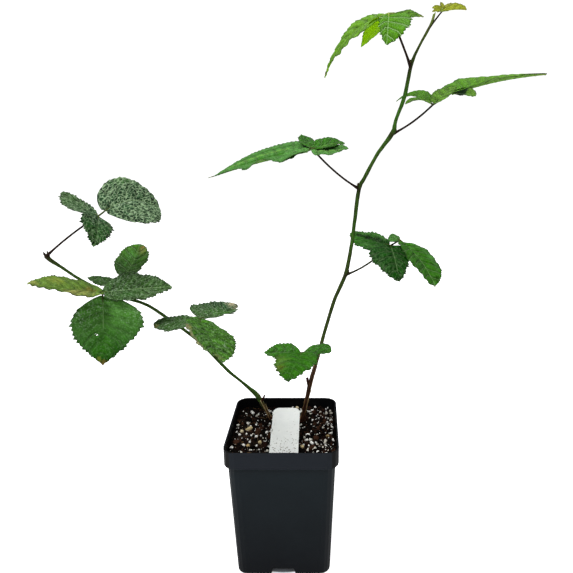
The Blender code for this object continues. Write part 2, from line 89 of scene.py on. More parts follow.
def add(owner, kind, inputs=None, out=0, **settings):
    """Adds a node, sets or links its inputs, and gives back one of its outputs."""
    node = owner.node_tree.nodes.new("ShaderNode" + kind)
    for name, value in settings.items():
        setattr(node, name, value)
    for place, value in (inputs or {}).items():
        if isinstance(value, bpy.types.NodeSocket):
            owner.node_tree.links.new(value, node.inputs[place])
        else:
            node.inputs[place].default_value = value
    return node.outputs[out] if node.outputs else node


print("half grey in linear light is", round(colour("#808080")[0], 3))

# %% [markdown]
# The ground is a plain white sweep, and the light is soft from above and from both sides.
# Large lamps close to the plant keep the shadows pale, as on a light table.
# The paper and the walls look white to the eye but light the plant less than they look.
# Under the pot no light gets in, so the paper's own glow ends at the pot's foot, and there the paper's colour is
# painted blue-grey as a painted shadow.

# %% Lay the floor
POT_FOOT = 26.5 * MM
bpy.ops.object.select_all(action="DESELECT")
bpy.ops.mesh.primitive_plane_add(size=6)
floor = bpy.context.object
floor.name = "studio_floor"
paper = new_material("white_paper")
middle = add(paper, "VectorMath", {0: add(paper, "TexCoord", out="Object")}, "Value", operation="LENGTH")
open_paper = add(paper, "MapRange", {
    "Value": middle, "From Min": POT_FOOT - MM, "From Max": POT_FOOT + MM, "To Min": 0.02, "To Max": 0.9})
# Under the pot the paper is painted blue-grey: a painted shadow.
shaded_paper = add(paper, "Mix", {0: open_paper, 6: colour("#A6AEBA"), 7: colour("#FFFFFF")}, 2, data_type="RGBA")
glow = add(paper, "Math", {0: add(paper, "LightPath", out="Is Camera Ray"), 1: open_paper}, operation="MULTIPLY")
sheet = add(paper, "BsdfPrincipled", {
    "Base Color": shaded_paper, "Roughness": 0.9,
    "Emission Color": colour("#FFFFFF"), "Emission Strength": glow})
add(paper, "OutputMaterial", {"Surface": sheet})
floor.data.materials.append(paper)
print("floor laid at height", floor.location.z)

# %% Hang the lights
world = bpy.data.worlds.new("studio")
world.use_nodes = True
world.node_tree.nodes.clear()
seen = add(world, "LightPath", out="Is Camera Ray")
level = add(world, "MapRange", {"Value": seen, "To Min": 0.32, "To Max": 1.1})
add(world, "OutputWorld", {"Surface": add(world, "Background", {"Color": colour("#FFFFFF"), "Strength": level})})
bpy.context.scene.world = world
bpy.context.scene.view_settings.view_transform = "Standard"

for name, place, size, watts in (
    ("key_light", (-0.45, -0.45, 1.05), 0.45, 8.5),
    ("fill_light", (0.85, -0.6, 0.75), 0.9, 1.2),
    ("top_light", (0.15, 0.25, 1.2), 0.5, 4.8),
):
    bpy.ops.object.light_add(type="AREA", location=place)
    lamp = bpy.context.object
    lamp.name = name
    lamp.data.size = size
    lamp.data.energy = watts
    lamp.rotation_euler = (Vector((0, 0, 0.15)) - lamp.location).to_track_quat("-Z", "Y").to_euler()
print("floor and three lights placed")

# %% [markdown]
# The pot is thin black polypropylene from a mould, so its skin has a fine even grain.
# The solid's shape is right, so it stays and only its finish is made here.
# The rim band is painted a little lighter, a painted highlight where it catches more of the sky, and the body is
# painted darker towards its foot as painted shade.
# The inside of the wall is painted nearly black.

# %% Finish of the pot
BAND_FOOT = 73.2 * MM
INNER_WALL = 31.2 * MM
plastic = new_material("moulded_black_plastic")
place = add(plastic, "TexCoord", out="Object")
across = add(plastic, "SeparateXYZ", {"Vector": place})
sideways = add(plastic, "Math", {0: across}, operation="ABSOLUTE")
depth = add(plastic, "Math", {0: across.node.outputs["Y"]}, operation="ABSOLUTE")
height = across.node.outputs["Z"]
in_band = add(plastic, "MapRange", {"Value": height, "From Min": BAND_FOOT, "From Max": BAND_FOOT + 0.5 * MM})
reach = add(plastic, "Math", {0: sideways, 1: depth}, operation="MAXIMUM")
inside_mask = add(plastic, "MapRange", {"Value": reach, "From Min": INNER_WALL, "From Max": INNER_WALL - 0.2 * MM})
inside_band = add(plastic, "Math", {0: inside_mask, 1: in_band}, operation="MULTIPLY")
pot_patches = add(plastic, "TexNoise", {"Vector": place, "Scale": 1 / (22 * MM), "Detail": 5.0})
# Random patches, and painted shade: the body is painted lighter higher up and darker towards its foot.
lit_height = add(plastic, "MapRange", {"Value": height, "From Min": 5 * MM, "From Max": BAND_FOOT})
patches_and_light = add(plastic, "Math", {0: pot_patches, 1: 0.5, 2: lit_height}, operation="MULTIPLY_ADD")
lit_share = add(plastic, "MapRange", {"Value": patches_and_light, "From Min": 0.2, "From Max": 1.2})
body = add(plastic, "Mix", {0: lit_share, 6: colour("#03070E"), 7: colour("#151E23")}, 2, data_type="RGBA")
# The rim band gets a lighter colour: a painted highlight.
band_highlighted = add(plastic, "Mix", {0: in_band, 6: body, 7: colour("#1C2128")}, 2, data_type="RGBA")
dark = add(plastic, "Mix", {0: inside_band, 6: band_highlighted, 7: colour("#08090B")}, 2, data_type="RGBA")
grain = add(plastic, "TexNoise", {"Vector": place, "Scale": 1 / (0.7 * MM), "Detail": 2.0})
skin = add(plastic, "Bump", {"Height": grain, "Strength": 0.25, "Distance": 0.1 * MM})
shell = add(plastic, "BsdfPrincipled", {
    "Base Color": dark, "Roughness": 0.5, "Specular IOR Level": 0.12, "Normal": skin})
add(plastic, "OutputMaterial", {"Surface": shell})
pot = bpy.data.objects["pot"]
pot.data.materials.clear()
pot.data.materials.append(plastic)
print("pot faces:", len(pot.data.polygons))

# %% [markdown]
# The label is a strip of white plastic stuck in at the front and bent back over the mix.
# It stays bare. Watering has splashed it with specks of peat, most of them low down by the mix.

# %% Finish of the label
LABEL_LOW = 78 * MM
LABEL_HIGH = 86 * MM
white = new_material("white_label_plastic")
place = add(white, "TexCoord", out="Object")
height = add(white, "SeparateXYZ", {"Vector": place}, "Z")
low = add(white, "MapRange", {"Value": height, "From Min": LABEL_HIGH, "From Max": LABEL_LOW})
haze = add(white, "TexNoise", {"Vector": place, "Scale": 1 / (4 * MM), "Detail": 5.0})
hazy = add(white, "Mix", {0: haze, 6: colour("#F0F2EF"), 7: colour("#DDE0DF")}, 2, data_type="RGBA")
specks = add(white, "TexNoise", {"Vector": place, "Scale": 1 / (1.1 * MM), "Detail": 3.0})
reached = add(white, "Math", {0: low, 1: 0.17, 2: specks}, operation="MULTIPLY_ADD")
speckled = add(white, "MapRange", {"Value": reached, "From Min": 0.66, "From Max": 0.74})
splashed = add(white, "Mix", {0: speckled, 6: hazy, 7: colour("#7C776C")}, 2, data_type="RGBA")
strip = add(white, "BsdfPrincipled", {"Base Color": splashed, "Roughness": 0.45, "Specular IOR Level": 0.25})
add(white, "OutputMaterial", {"Surface": strip})
label = bpy.data.objects["plant_label"]
label.data.materials.clear()
label.data.materials.append(white)
print("label is bare white plastic")

# %% [markdown]
# Many small things are made in one go from arrays: the lists of points and faces are worked
# out first and handed to Blender as one mesh. It is quick, and one mesh holds them all.
# Each mesh can carry a colour for every point, which its material reads back.

# %% One mesh from arrays
def piece_from_arrays(name, points, faces, material, tints, habits=None, leaf_places=None):
    """An object from points in millimetres, faces, colours and a leaf's own coordinates."""
    mesh = bpy.data.meshes.new(name)
    mesh.from_pydata((np.asarray(points, float) * MM).tolist(), [], faces)
    for title, values in (("tint", tints), ("habit", habits)):
        if values is not None:
            layer = mesh.color_attributes.new(title, "FLOAT_COLOR", "POINT")
            layer.data.foreach_set("color", np.asarray(values, np.float32).ravel())
    if leaf_places is not None:
        corners = np.empty(len(mesh.loops), np.int32)
        mesh.loops.foreach_get("vertex_index", corners)
        layer = mesh.uv_layers.new(name="leaf")
        layer.data.foreach_set("uv", np.asarray(leaf_places, np.float32)[corners].ravel())
    mesh.shade_smooth()
    mesh.materials.append(material)
    made = bpy.data.objects.new(name, mesh)
    bpy.context.scene.collection.objects.link(made)
    return made


print("array meshes carry tint, habit and leaf coordinates")

# %% [markdown]
# A round shoot is a tube: rings of points are set square to its line and joined in order.
# Each ring is turned along with the line, so the tube never twists.
# A row of the line is a point and its radius, so the same tube makes stems, buds and fibres.

# %% Tube from a line
def smooth_line(controls, parts):
    """Points and radii on a curve through the controls, in millimetres."""
    rows = np.array(controls, float)
    line = []
    for i in range(len(rows) - 1):
        before, here, there = rows[max(i - 1, 0)], rows[i], rows[i + 1]
        after = rows[min(i + 2, len(rows) - 1)]
        for step in range(parts):
            t = step / parts
            line.append((2 * here + (there - before) * t + (2 * before - 5 * here + 4 * there - after) * t * t
                         + (3 * here - before - 3 * there + after) * t ** 3) / 2)
    line.append(rows[-1])
    return np.array(line)


def tube_arrays(line, sides, ripple=0.0, seed=0):
    """Points and faces of a closed round tube along a line of points with radii."""
    points = []
    hint = np.array([0.3, 1.0, 0.1])
    for i, row in enumerate(line):
        tangent = line[min(i + 1, len(line) - 1)][:3] - line[max(i - 1, 0)][:3]
        tangent = tangent / np.linalg.norm(tangent)
        across = hint - tangent * hint.dot(tangent)
        across = across / np.linalg.norm(across)
        upward = np.cross(tangent, across)
        hint = across
        for k in range(sides):
            angle = 2 * math.pi * k / sides
            round_about = math.cos(angle), math.sin(angle)
            swell = 1 + ripple * noise.noise(Vector((round_about[0] * 1.3, round_about[1] * 1.3 + seed, i * 0.3)))
            points.append(row[:3] + row[3] * swell * (round_about[0] * across + round_about[1] * upward))
    faces = []
    for i in range(len(line) - 1):
        for k in range(sides):
            a, b = i * sides + k, i * sides + (k + 1) % sides
            faces.append((a, b, b + sides, a + sides))
    faces.append(tuple(reversed(range(sides))))
    faces.append(tuple(range((len(line) - 1) * sides, len(line) * sides)))
    return points, faces


class Heap:
    """Gathers the points, faces and colours of many small shapes for one mesh."""

    def __init__(self):
        self.points, self.faces, self.tints = [], [], []

    def put(self, points, faces, tints):
        first = len(self.points)
        self.faces.extend(tuple(int(corner) + first for corner in face) for face in faces)
        self.points.extend(points)
        self.tints.extend(tints)


def heading_vector(heading, pitch):
    """A unit direction from its compass heading and its angle over the level, in degrees."""
    h, p = math.radians(heading), math.radians(pitch)
    return np.array([math.cos(p) * math.cos(h), math.cos(p) * math.sin(h), math.sin(p)])


def blend(low, high, share):
    """A colour between two others, all as arrays."""
    return low + (high - low) * min(1, max(0, share))


print("tube maker ready, a bar of three rows has", len(tube_arrays(np.eye(3, 4), 8)[1]), "faces")

# %% [markdown]
# The potting mix is damp peat and composted bark with white mineral grains in it.
# Its top is a fine grid drawn to the pot's rounded square and lifted by fractal noise,
# which gives crumbs at several sizes at once. A skirt and a base close it underneath.

# %% Level of the mix
CANE_FEET = ((10.0, 12.5), (-9.0, 15.0))
MIX_LEVEL = 77.2
MIX_HALF = 30.4
MIX_CORNER = 5.5


def mix_height(x, y):
    """The solid's own level of the mix at a place, in millimetres."""
    wave = math.sin(x / 5.1) * math.cos(y / 6.3) + 0.5 * math.sin((x + 2 * y) / 7.7)
    away = min(math.hypot(x - foot[0], y - foot[1]) for foot in CANE_FEET)
    fade = min(1, max(0, away / 10 - 0.6))
    return MIX_LEVEL - fade * 0.6 * (0.5 + 0.33 * wave)


def crumb_height(x, y):
    """The crumbly top over that level."""
    spot = Vector((x, y, 3.0))
    coarse = noise.fractal(spot * 0.30, 0.9, 2.1, 5)
    fine = noise.fractal(spot * 1.1, 0.8, 2.0, 3)
    return mix_height(x, y) + 0.35 + 0.85 * coarse + 0.4 * fine


def inside_pot(x, y):
    """How far a point lies inside the rounded square of the pot's inner wall."""
    dx = abs(x) - (MIX_HALF - MIX_CORNER)
    dy = abs(y) - (MIX_HALF - MIX_CORNER)
    if dx > 0 and dy > 0:
        return MIX_CORNER - math.hypot(dx, dy)
    return MIX_CORNER - max(dx, dy)


def rim_reach(dx, dy):
    """The distance from the middle to the rounded square's edge along a direction."""
    near, far = 0.0, 2 * MIX_HALF
    for _ in range(20):
        middle = (near + far) / 2
        if inside_pot(dx * middle, dy * middle) > 0:
            near = middle
        else:
            far = middle
    return near


print("mix stands about", round(crumb_height(0, 0), 1), "mm up, edge at", round(rim_reach(1, 0), 1))

# %% Top of the mix
MIX_STEPS = 190
SKIRT_FOOT = 74.5
bpy.ops.object.select_all(action="DESELECT")
bpy.ops.mesh.primitive_grid_add(x_subdivisions=MIX_STEPS, y_subdivisions=MIX_STEPS, size=2)
mix_top = bpy.context.object
mix_top.name = "mix_surface"
bpy.ops.object.mode_set(mode="EDIT")
bpy.ops.mesh.select_all(action="SELECT")
bpy.ops.mesh.region_to_loop()
bpy.ops.mesh.extrude_region_move(TRANSFORM_OT_translate={"value": (0, 0, -1)})
bpy.ops.mesh.edge_face_add()
bpy.ops.mesh.select_all(action="SELECT")
bpy.ops.mesh.normals_make_consistent(inside=False)
bpy.ops.object.mode_set(mode="OBJECT")
peat, bark = np.array(colour("#060403")), np.array(colour("#2A1913"))
mix_tint = mix_top.data.color_attributes.new("tint", "FLOAT_COLOR", "POINT")
for vertex in mix_top.data.vertices:
    u, v, skirt = vertex.co
    size = math.hypot(u, v) or 1e-6
    scale = rim_reach(u / size, v / size) * max(abs(u), abs(v))
    x, y = u / size * scale, v / size * scale
    z = SKIRT_FOOT if skirt < -0.5 else crumb_height(x, y)
    vertex.co = (x * MM, y * MM, z * MM)
    shade = noise.noise(Vector((x, y, 9.0)) * 0.55) + 0.5 * noise.noise(Vector((x, y, 4.0)) * 2.1)
    mix_tint.data[vertex.index].color = blend(peat, bark, 0.02 + 0.9 * shade)
mix_top.data.shade_smooth()
print("mix surface faces:", len(mix_top.data.polygons))

# %% Finish of the mix
damp = new_material("damp_peat")
place = add(damp, "TexCoord", out="Object")
crumbs = add(damp, "TexNoise", {"Vector": place, "Scale": 1 / (0.6 * MM), "Detail": 6.0})
tint = add(damp, "VertexColor", layer_name="tint")
# The crumb noise darkens the peat's colour in the pits and lightens it on the crumbs: painted shade and painted light.
pit_shade_and_light = add(damp, "MapRange", {"Value": crumbs, "From Min": 0.4, "From Max": 0.62, "To Min": 0.15, "To Max": 1.5})
crumb_shaded = add(damp, "Mix", {0: 1.0, 6: tint, 7: pit_shade_and_light}, 2, data_type="RGBA", blend_type="MULTIPLY")
rough = add(damp, "Bump", {"Height": crumbs, "Strength": 1.0, "Distance": 0.5 * MM})
earth = add(damp, "BsdfPrincipled", {
    "Base Color": crumb_shaded, "Roughness": 0.8, "Specular IOR Level": 0.05, "Normal": rough})
add(damp, "OutputMaterial", {"Surface": earth})
mix_top.data.materials.append(damp)
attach(mix_top, "root")
buried_skin = new_material("buried_peat")
place = add(buried_skin, "TexCoord", out="Object")
clumps = add(buried_skin, "TexNoise", {"Vector": place, "Scale": 1 / (3 * MM), "Detail": 6.0})
clumped = add(buried_skin, "Mix", {0: clumps, 6: colour("#120B07"), 7: colour("#2E1E14")}, 2, data_type="RGBA")
buried = add(buried_skin, "BsdfPrincipled", {"Base Color": clumped, "Roughness": 0.9, "Specular IOR Level": 0.1})
add(buried_skin, "OutputMaterial", {"Surface": buried})
solid_mix = bpy.data.objects["potting_mix"]
solid_mix.data.materials.clear()
solid_mix.data.materials.append(buried_skin)
print("mix materials made")

# %% [markdown]
# The white grains are expanded mineral, mostly under 2 mm across, with tan lumps and bark chips.
# Each is a small ball pushed out of round by noise, then flattened and turned at random.
# Many small ones and few large ones look like a sieved mix, so sizes follow a power of a draw.

# %% Scatter of grains
bpy.ops.object.select_all(action="DESELECT")
bpy.ops.mesh.primitive_ico_sphere_add(subdivisions=2, radius=1)
seed_ball = bpy.context.object
ball_points = np.array([v.co[:] for v in seed_ball.data.vertices])
ball_faces = [tuple(p.vertices) for p in seed_ball.data.polygons]
bpy.data.objects.remove(seed_ball)


def lump(x, y, size, flatten, tilt, dice):
    """Points of one rough grain lying at a place on the mix."""
    lean = Vector((dice.uniform(-tilt, tilt), dice.uniform(-tilt, tilt), 1)).normalized()
    turn = np.array(lean.to_track_quat("Z", "X").to_matrix())
    spin = dice.uniform(0, 2 * math.pi)
    spun = np.array([[math.cos(spin), -math.sin(spin), 0], [math.sin(spin), math.cos(spin), 0], [0, 0, 1]])
    knobs = np.array([1 + 0.5 * noise.noise(Vector(p) * 1.6 + Vector((x, y, size))) for p in ball_points])
    shape = ball_points * knobs[:, None] * np.array([dice.uniform(0.8, 1.3), dice.uniform(0.6, 1.0), flatten])
    return shape @ spun.T @ turn.T * size / 2


def mineral_skin(name, grain_mm):
    """A dull porous material that reads the colour of each point and paints shade into its pores."""
    made = new_material(name)
    pores = add(made, "TexNoise", {
        "Vector": add(made, "TexCoord", out="Object"), "Scale": 1 / (grain_mm * MM), "Detail": 3.0})
    # The pores darken the colour a little: painted shade in them.
    shade = add(made, "MapRange", {"Value": pores, "From Min": 0.3, "From Max": 0.6, "To Min": 0.85})
    tint = add(made, "VertexColor", layer_name="tint")
    shaded = add(made, "Mix", {0: 1.0, 6: tint, 7: shade}, 2, data_type="RGBA", blend_type="MULTIPLY")
    relief = add(made, "Bump", {"Height": pores, "Strength": 0.6, "Distance": 0.2 * MM})
    matter = add(made, "BsdfPrincipled", {
        "Base Color": shaded, "Roughness": 0.85, "Specular IOR Level": 0.05, "Normal": relief})
    add(made, "OutputMaterial", {"Surface": matter})
    return made


def scatter(name, count, sizes, flatten, shades, seed, sink, tilt=0.5, places=()):
    """One joined mesh of grains spread over the mix, or laid at given places."""
    dice = random.Random(seed)
    heap = Heap()
    laid = 0
    while laid < count:
        if laid < len(places):
            x, y, size = places[laid]
        else:
            x, y = dice.uniform(-29.3, 29.3), dice.uniform(-29.3, 29.3)
            size = sizes[0] + (sizes[1] - sizes[0]) * dice.random() ** 2.6
            crowded = 0.6 + 0.4 * (x - y * 0.4) / 40
            if inside_pot(x, y) < size / 2 or dice.random() > crowded:
                continue
        shape = lump(x, y, size, flatten, tilt, dice)
        shape = shape + np.array([x, y, crumb_height(x, y) + size * sink])
        shade = np.array(colour(dice.choice(shades))) * dice.uniform(0.85, 1.05)
        heap.put(shape, ball_faces, [np.append(shade[:3], 1)] * len(shape))
        laid += 1
    made = piece_from_arrays(name, heap.points, heap.faces, mineral_skin(name + "_matter", 0.35), heap.tints)
    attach(made, "root")
    print(name, count)


TAN_PLACES = (
    (-21.3, 2.7, 3.4), (-25.2, 0.4, 2.6), (-13.1, -12.5, 2.8), (11.2, -17.6, 2.6), (26.1, -5.1, 2.6),
    (6.6, 28.0, 2.6), (-19.5, -15.5, 2.4), (24.5, 12.0, 2.0),
)
scatter("white_grains", 720, (0.35, 2.1), 0.8, ("#FAF9F4", "#F0EEE8", "#FFFEFA", "#DAD5C8"), 11, 0.25)
scatter("bark_chips", 760, (0.9, 4.0), 0.4, ("#140C08", "#0C0705", "#070504", "#25140E", "#3A2419"), 12, 0.12, 1.2)
scatter("tan_lumps", len(TAN_PLACES), (2, 3), 0.8, ("#CDB98E", "#BFA575", "#D9CBA8"), 13, 0.25, 0.5, TAN_PLACES)

# %% [markdown]
# Shreds of fibre lie between the crumbs. Each is a thin tube on a line that curls and rises.

# %% Shreds of fibre
def fibre_line(dice):
    """A short curled line lying on the mix."""
    while True:
        x, y = dice.uniform(-28, 28), dice.uniform(-28, 28)
        if inside_pot(x, y) > 3:
            break
    heading = dice.uniform(0, 360)
    curl = dice.uniform(-50, 50)
    lift = dice.uniform(0, 0.5)
    step = dice.uniform(3, 7) / 7
    thick = dice.uniform(0.1, 0.22)
    line = []
    for i in range(8):
        line.append((x, y, crumb_height(x, y) + 0.3 + lift * i * 0.5, thick * (1 - 0.08 * i)))
        x, y = x + step * math.cos(math.radians(heading)), y + step * math.sin(math.radians(heading))
        heading += curl
        if inside_pot(x, y) < 0.5:
            break
    return np.array(line)


dice = random.Random(21)
shreds = Heap()
for _ in range(90):
    line = fibre_line(dice)
    if len(line) < 3:
        continue
    points, faces = tube_arrays(line, 6, 0.3)
    shade = np.array(colour(dice.choice(("#2A1C12", "#4B3524", "#140E0A", "#6B5238"))))
    shreds.put(points, faces, [shade] * len(points))
fibres = piece_from_arrays("fibre_shreds", shreds.points, shreds.faces, mineral_skin("fibre", 0.5), shreds.tints)
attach(fibres, "root")
print("fibre shreds faces:", len(shreds.faces))

# %% [markdown]
# Every leaflet is told by a few numbers, the same that shape the solid blade, so the fine
# blade lies in it. The outline name gives where the blade is widest and how full its base is.
# The last four words are paints: at the base, at the tip and underneath, and then the bloom. The bright underneath
# paints hold the underside's own paler green and painted light shining through the thin blade.

# %% Paints of this season
PAINTS = {
    "deep": "#0B3F01", "fern": "#518936", "forest": "#388018", "leaf_green": "#2C6608", "grass": "#3A6B14",
    "moss": "#2F4F1F", "grey_green": "#203E22", "olive": "#5F7D2E", "fresh": "#467C34",
    "bright": "#477E03", "light": "#5F8F22", "lime": "#74A80E", "bronze": "#8C9230",
    # under_fresh, under_lime and under_bronze are the paler underside and painted light shining through the blade.
    "under_dull": "#5C7C4C", "under_fresh": "#74A53E", "under_lime": "#A3E003", "under_bronze": "#CAD345",
    "brown": "#6B5024", "straw": "#A9A05A", "yellow": "#A8A83C", "ash": "#A4B59C", "rust": "#7A4A22",
    "shade": "#0E2A0C", "sand": "#B9A98C",
}
PAINTS = {name: np.array(colour(code)) for name, code in PAINTS.items()}
print("paints:", len(PAINTS))

# %% Numbers of every leaf
OUTLINES = {
    "ovate": (0.38, 0.50), "pointed": (0.34, 0.55), "round": (0.48, 0.50),
    "slim": (0.42, 0.62), "kite": (0.38, 0.72),
}
Stalk = namedtuple("Stalk", "length heading pitch rise")
Leaflet = namedtuple("Leaflet", "stalk length width share heading pitch roll droop sweep outline base tip under bloom")
Leaf = namedtuple("Leaf", "cane height fold whorls")
LEAVES = {
    "leaf_left_low": Leaf("cane_left", 121.6, 8, (
        (Stalk(34.5, -100, 59, 0), (
            Leaflet(1.3, 41.3, 28, 0.49, -61, -14, 23.5, 3, 0.03, "slim", "grass", "grass", "under_dull", 0.25),
            Leaflet(2, 23.5, 14.5, 0.72, -179, -7, 19, 5, 0.04, "round", "moss", "moss", "under_dull", 0.45),
            Leaflet(3.7, 29.5, 28, 0.64, 61, 0, 0, -14, -0.05, "ovate", "moss", "grey_green", "under_dull", 0.45),
        )),
    )),
    "leaf_left_middle": Leaf("cane_left", 161.3, 6, (
        (Stalk(18.5, -98, 23, 0), (
            Leaflet(2.9, 35.2, 37.2, 0.57, -80, -61.2, -5.9, -16.6, -0.01, "kite", "fern", "deep", "under_dull", 0.1),
            Leaflet(1.2, 34, 27, 0.43, -143, 18, 7, -6, 0, "ovate", "olive", "olive", "under_dull", 0.15),
            Leaflet(1.5, 34, 26, 0.53, 23, -1, -20, 7, 0.01, "ovate", "moss", "moss", "under_dull", 0.3),
        )),
    )),
    "leaf_left_rear": Leaf("cane_left", 162.8, 6, (
        (Stalk(13, 95, 14, 0), (
            Leaflet(7.3, 25.5, 21.5, 0.54, 74, 35, -1, -20, -0.09, "round", "moss", "grass", "under_dull", 0.15),
            Leaflet(1.6, 15.5, 9.5, 0.59, -173, 10, 20, 0, 0.1, "ovate", "moss", "moss", "under_dull", 0.3),
            Leaflet(1, 12.5, 8.5, 0.5, 3, -2, -14, 4, 0, "ovate", "moss", "moss", "under_dull", 0.3),
        )),
    )),
    "leaf_left_end": Leaf("cane_left", 185, 8, (
        (Stalk(36, 8, 36, 0.03), (
            Leaflet(5.5, 33.5, 40, 0.42, 47, -2, -36, 66, 0.02, "round", "grey_green", "grey_green", "under_dull", 0.4),
            Leaflet(1.6, 25.5, 15, 0.72, 161, 26, 6, -1, 0.1, "slim", "grey_green", "moss", "under_dull", 0.35),
            Leaflet(1, 26.2, 17.7, 0.44, -69, -30.1, 34.4, 17.4, 0.13, "pointed", "grey_green", "deep", "under_dull", 0.2),
        )),
    )),
    "leaf_right_low": Leaf("cane_right", 118, 8, (
        (Stalk(20.5, -120, 36, 0), (
            Leaflet(0.4, 30, 24, 0.52, -103, -7, -3, 23, -0.02, "ovate", "leaf_green", "leaf_green", "under_dull", 0.1),
            Leaflet(1.4, 20, 14, 0.49, 175, -2, 18, 6, 0.01, "slim", "leaf_green", "leaf_green", "under_dull", 0.2),
            Leaflet(1.9, 16, 14, 0.61, -21, 10, -5, 7, 0.01, "round", "leaf_green", "leaf_green", "under_dull", 0.2),
        )),
    )),
    "leaf_right_middle": Leaf("cane_right", 172.6, 8, (
        (Stalk(30, 5, 33, -0.07), (
            Leaflet(0.6, 30.5, 21, 0.37, -88, -26, -4, 35, -0.01, "ovate", "deep", "deep", "under_dull", 0.05),
            Leaflet(1.8, 24, 18, 0.64, 150, 10, 22, -1, 0.02, "ovate", "deep", "forest", "under_dull", 0.1),
        )),
        (Stalk(6, -2, 30, 0), (
            Leaflet(3, 34.5, 22.5, 0.49, -55, -30, 9, 17, 0.2, "round", "leaf_green", "leaf_green", "under_dull", 0.05),
            Leaflet(0.5, 6.5, 8, 0.74, 137, 23, 22, -13, 0.08, "ovate", "fresh", "fresh", "under_dull", 0.1),
        )),
    )),
    "leaf_crossing": Leaf("cane_right", 220.5, 8, (
        (Stalk(33, -160, 38, -0.05), (
            Leaflet(3.1, 52.2, 35.8, 0.46, 165, -14, 14, 7.7, -0.05, "ovate", "fresh", "fresh", "under_fresh", 0.1),
            Leaflet(2, 15, 13, 0.35, -161, -22, 9, 24, -0.01, "round", "fresh", "fresh", "under_fresh", 0.1),
            Leaflet(1.8, 16, 8.5, 0.54, 113, 25, 2, 3, 0.01, "kite", "leaf_green", "leaf_green", "under_dull", 0.1),
            Leaflet(1.1, 16, 13.5, 0.55, 13, 10, -19, 27, 0.04, "ovate", "leaf_green", "leaf_green", "under_fresh", 0.1),
            Leaflet(0.4, 18, 14.5, 0.38, -16, 2, -24, -8, 0, "ovate", "fresh", "fresh", "under_fresh", 0.1),
        )),
    )),
    "leaf_right_high": Leaf("cane_right", 248, 6, (
        (Stalk(27, 17, 33, -0.05), (
            Leaflet(2.7, 20.2, 10.5, 0.28, 147.5, 1.5, 17.7, 73.7, 0.07, "ovate", "bright", "bright", "under_fresh", 0.05),
            Leaflet(2.2, 14, 10.5, 0.56, -167, -4, 11, 65, 0.01, "ovate", "bright", "light", "under_fresh", 0.1),
            Leaflet(1.8, 15.5, 11, 0.46, -62, 26, 2, 19, -0.04, "ovate", "bright", "bright", "under_fresh", 0.05),
        )),
        (Stalk(11.5, 18, 30, 0), (
            Leaflet(0.9, 53, 39.5, 0.66, 14.5, 11, -3, 14.5, 0.07, "ovate", "bright", "light", "under_fresh", 0.15),
            Leaflet(1.5, 11.5, 10, 0.45, -6, -6, 17, 26, -0.02, "round", "bright", "light", "under_fresh", 0),
        )),
    )),
    "leaf_top": Leaf("cane_right", 279, 8, (
        (Stalk(26.5, -145, 55, 0.04), (
            Leaflet(3.6, 37, 21.5, 0.61, 154, -40.3, 35.5, 56, 0.11, "kite", "light", "light", "under_lime", 0.15),
            Leaflet(3.1, 15.5, 12.5, 0.5, 153, -48, -7, 14, -0.11, "pointed", "lime", "lime", "under_lime", 0),
            Leaflet(2.1, 23.5, 14.5, 0.71, -98, -41, 0, 26, 0.01, "ovate", "bright", "bright", "under_fresh", 0.05),
            Leaflet(2.9, 14.5, 10, 0.61, 13, -2, 4, 10, -0.05, "kite", "light", "light", "under_fresh", 0.1),
        )),
    )),
    "leaf_tip": Leaf("cane_right", 296, 38, (
        (Stalk(9, -12, 51, 0), (
            Leaflet(0.5, 11.5, 8, 0.47, 9, 4, -15, 21, 0, "ovate", "bronze", "bronze", "under_bronze", 0),
            Leaflet(0.4, 5, 3.6, 0.55, 150, 20, -16, 10, 0, "ovate", "bronze", "bronze", "under_bronze", 0),
            Leaflet(1.2, 4.5, 3, 0.5, 205, -10, 10, 13, 0, "ovate", "bronze", "bronze", "under_bronze", 0),
            Leaflet(1, 4.2, 2.6, 0.5, 100, 58, 0, 10, 0, "pointed", "bronze", "bronze", "under_bronze", 0),
        )),
    )),
}
print("compound leaves:", len(LEAVES))
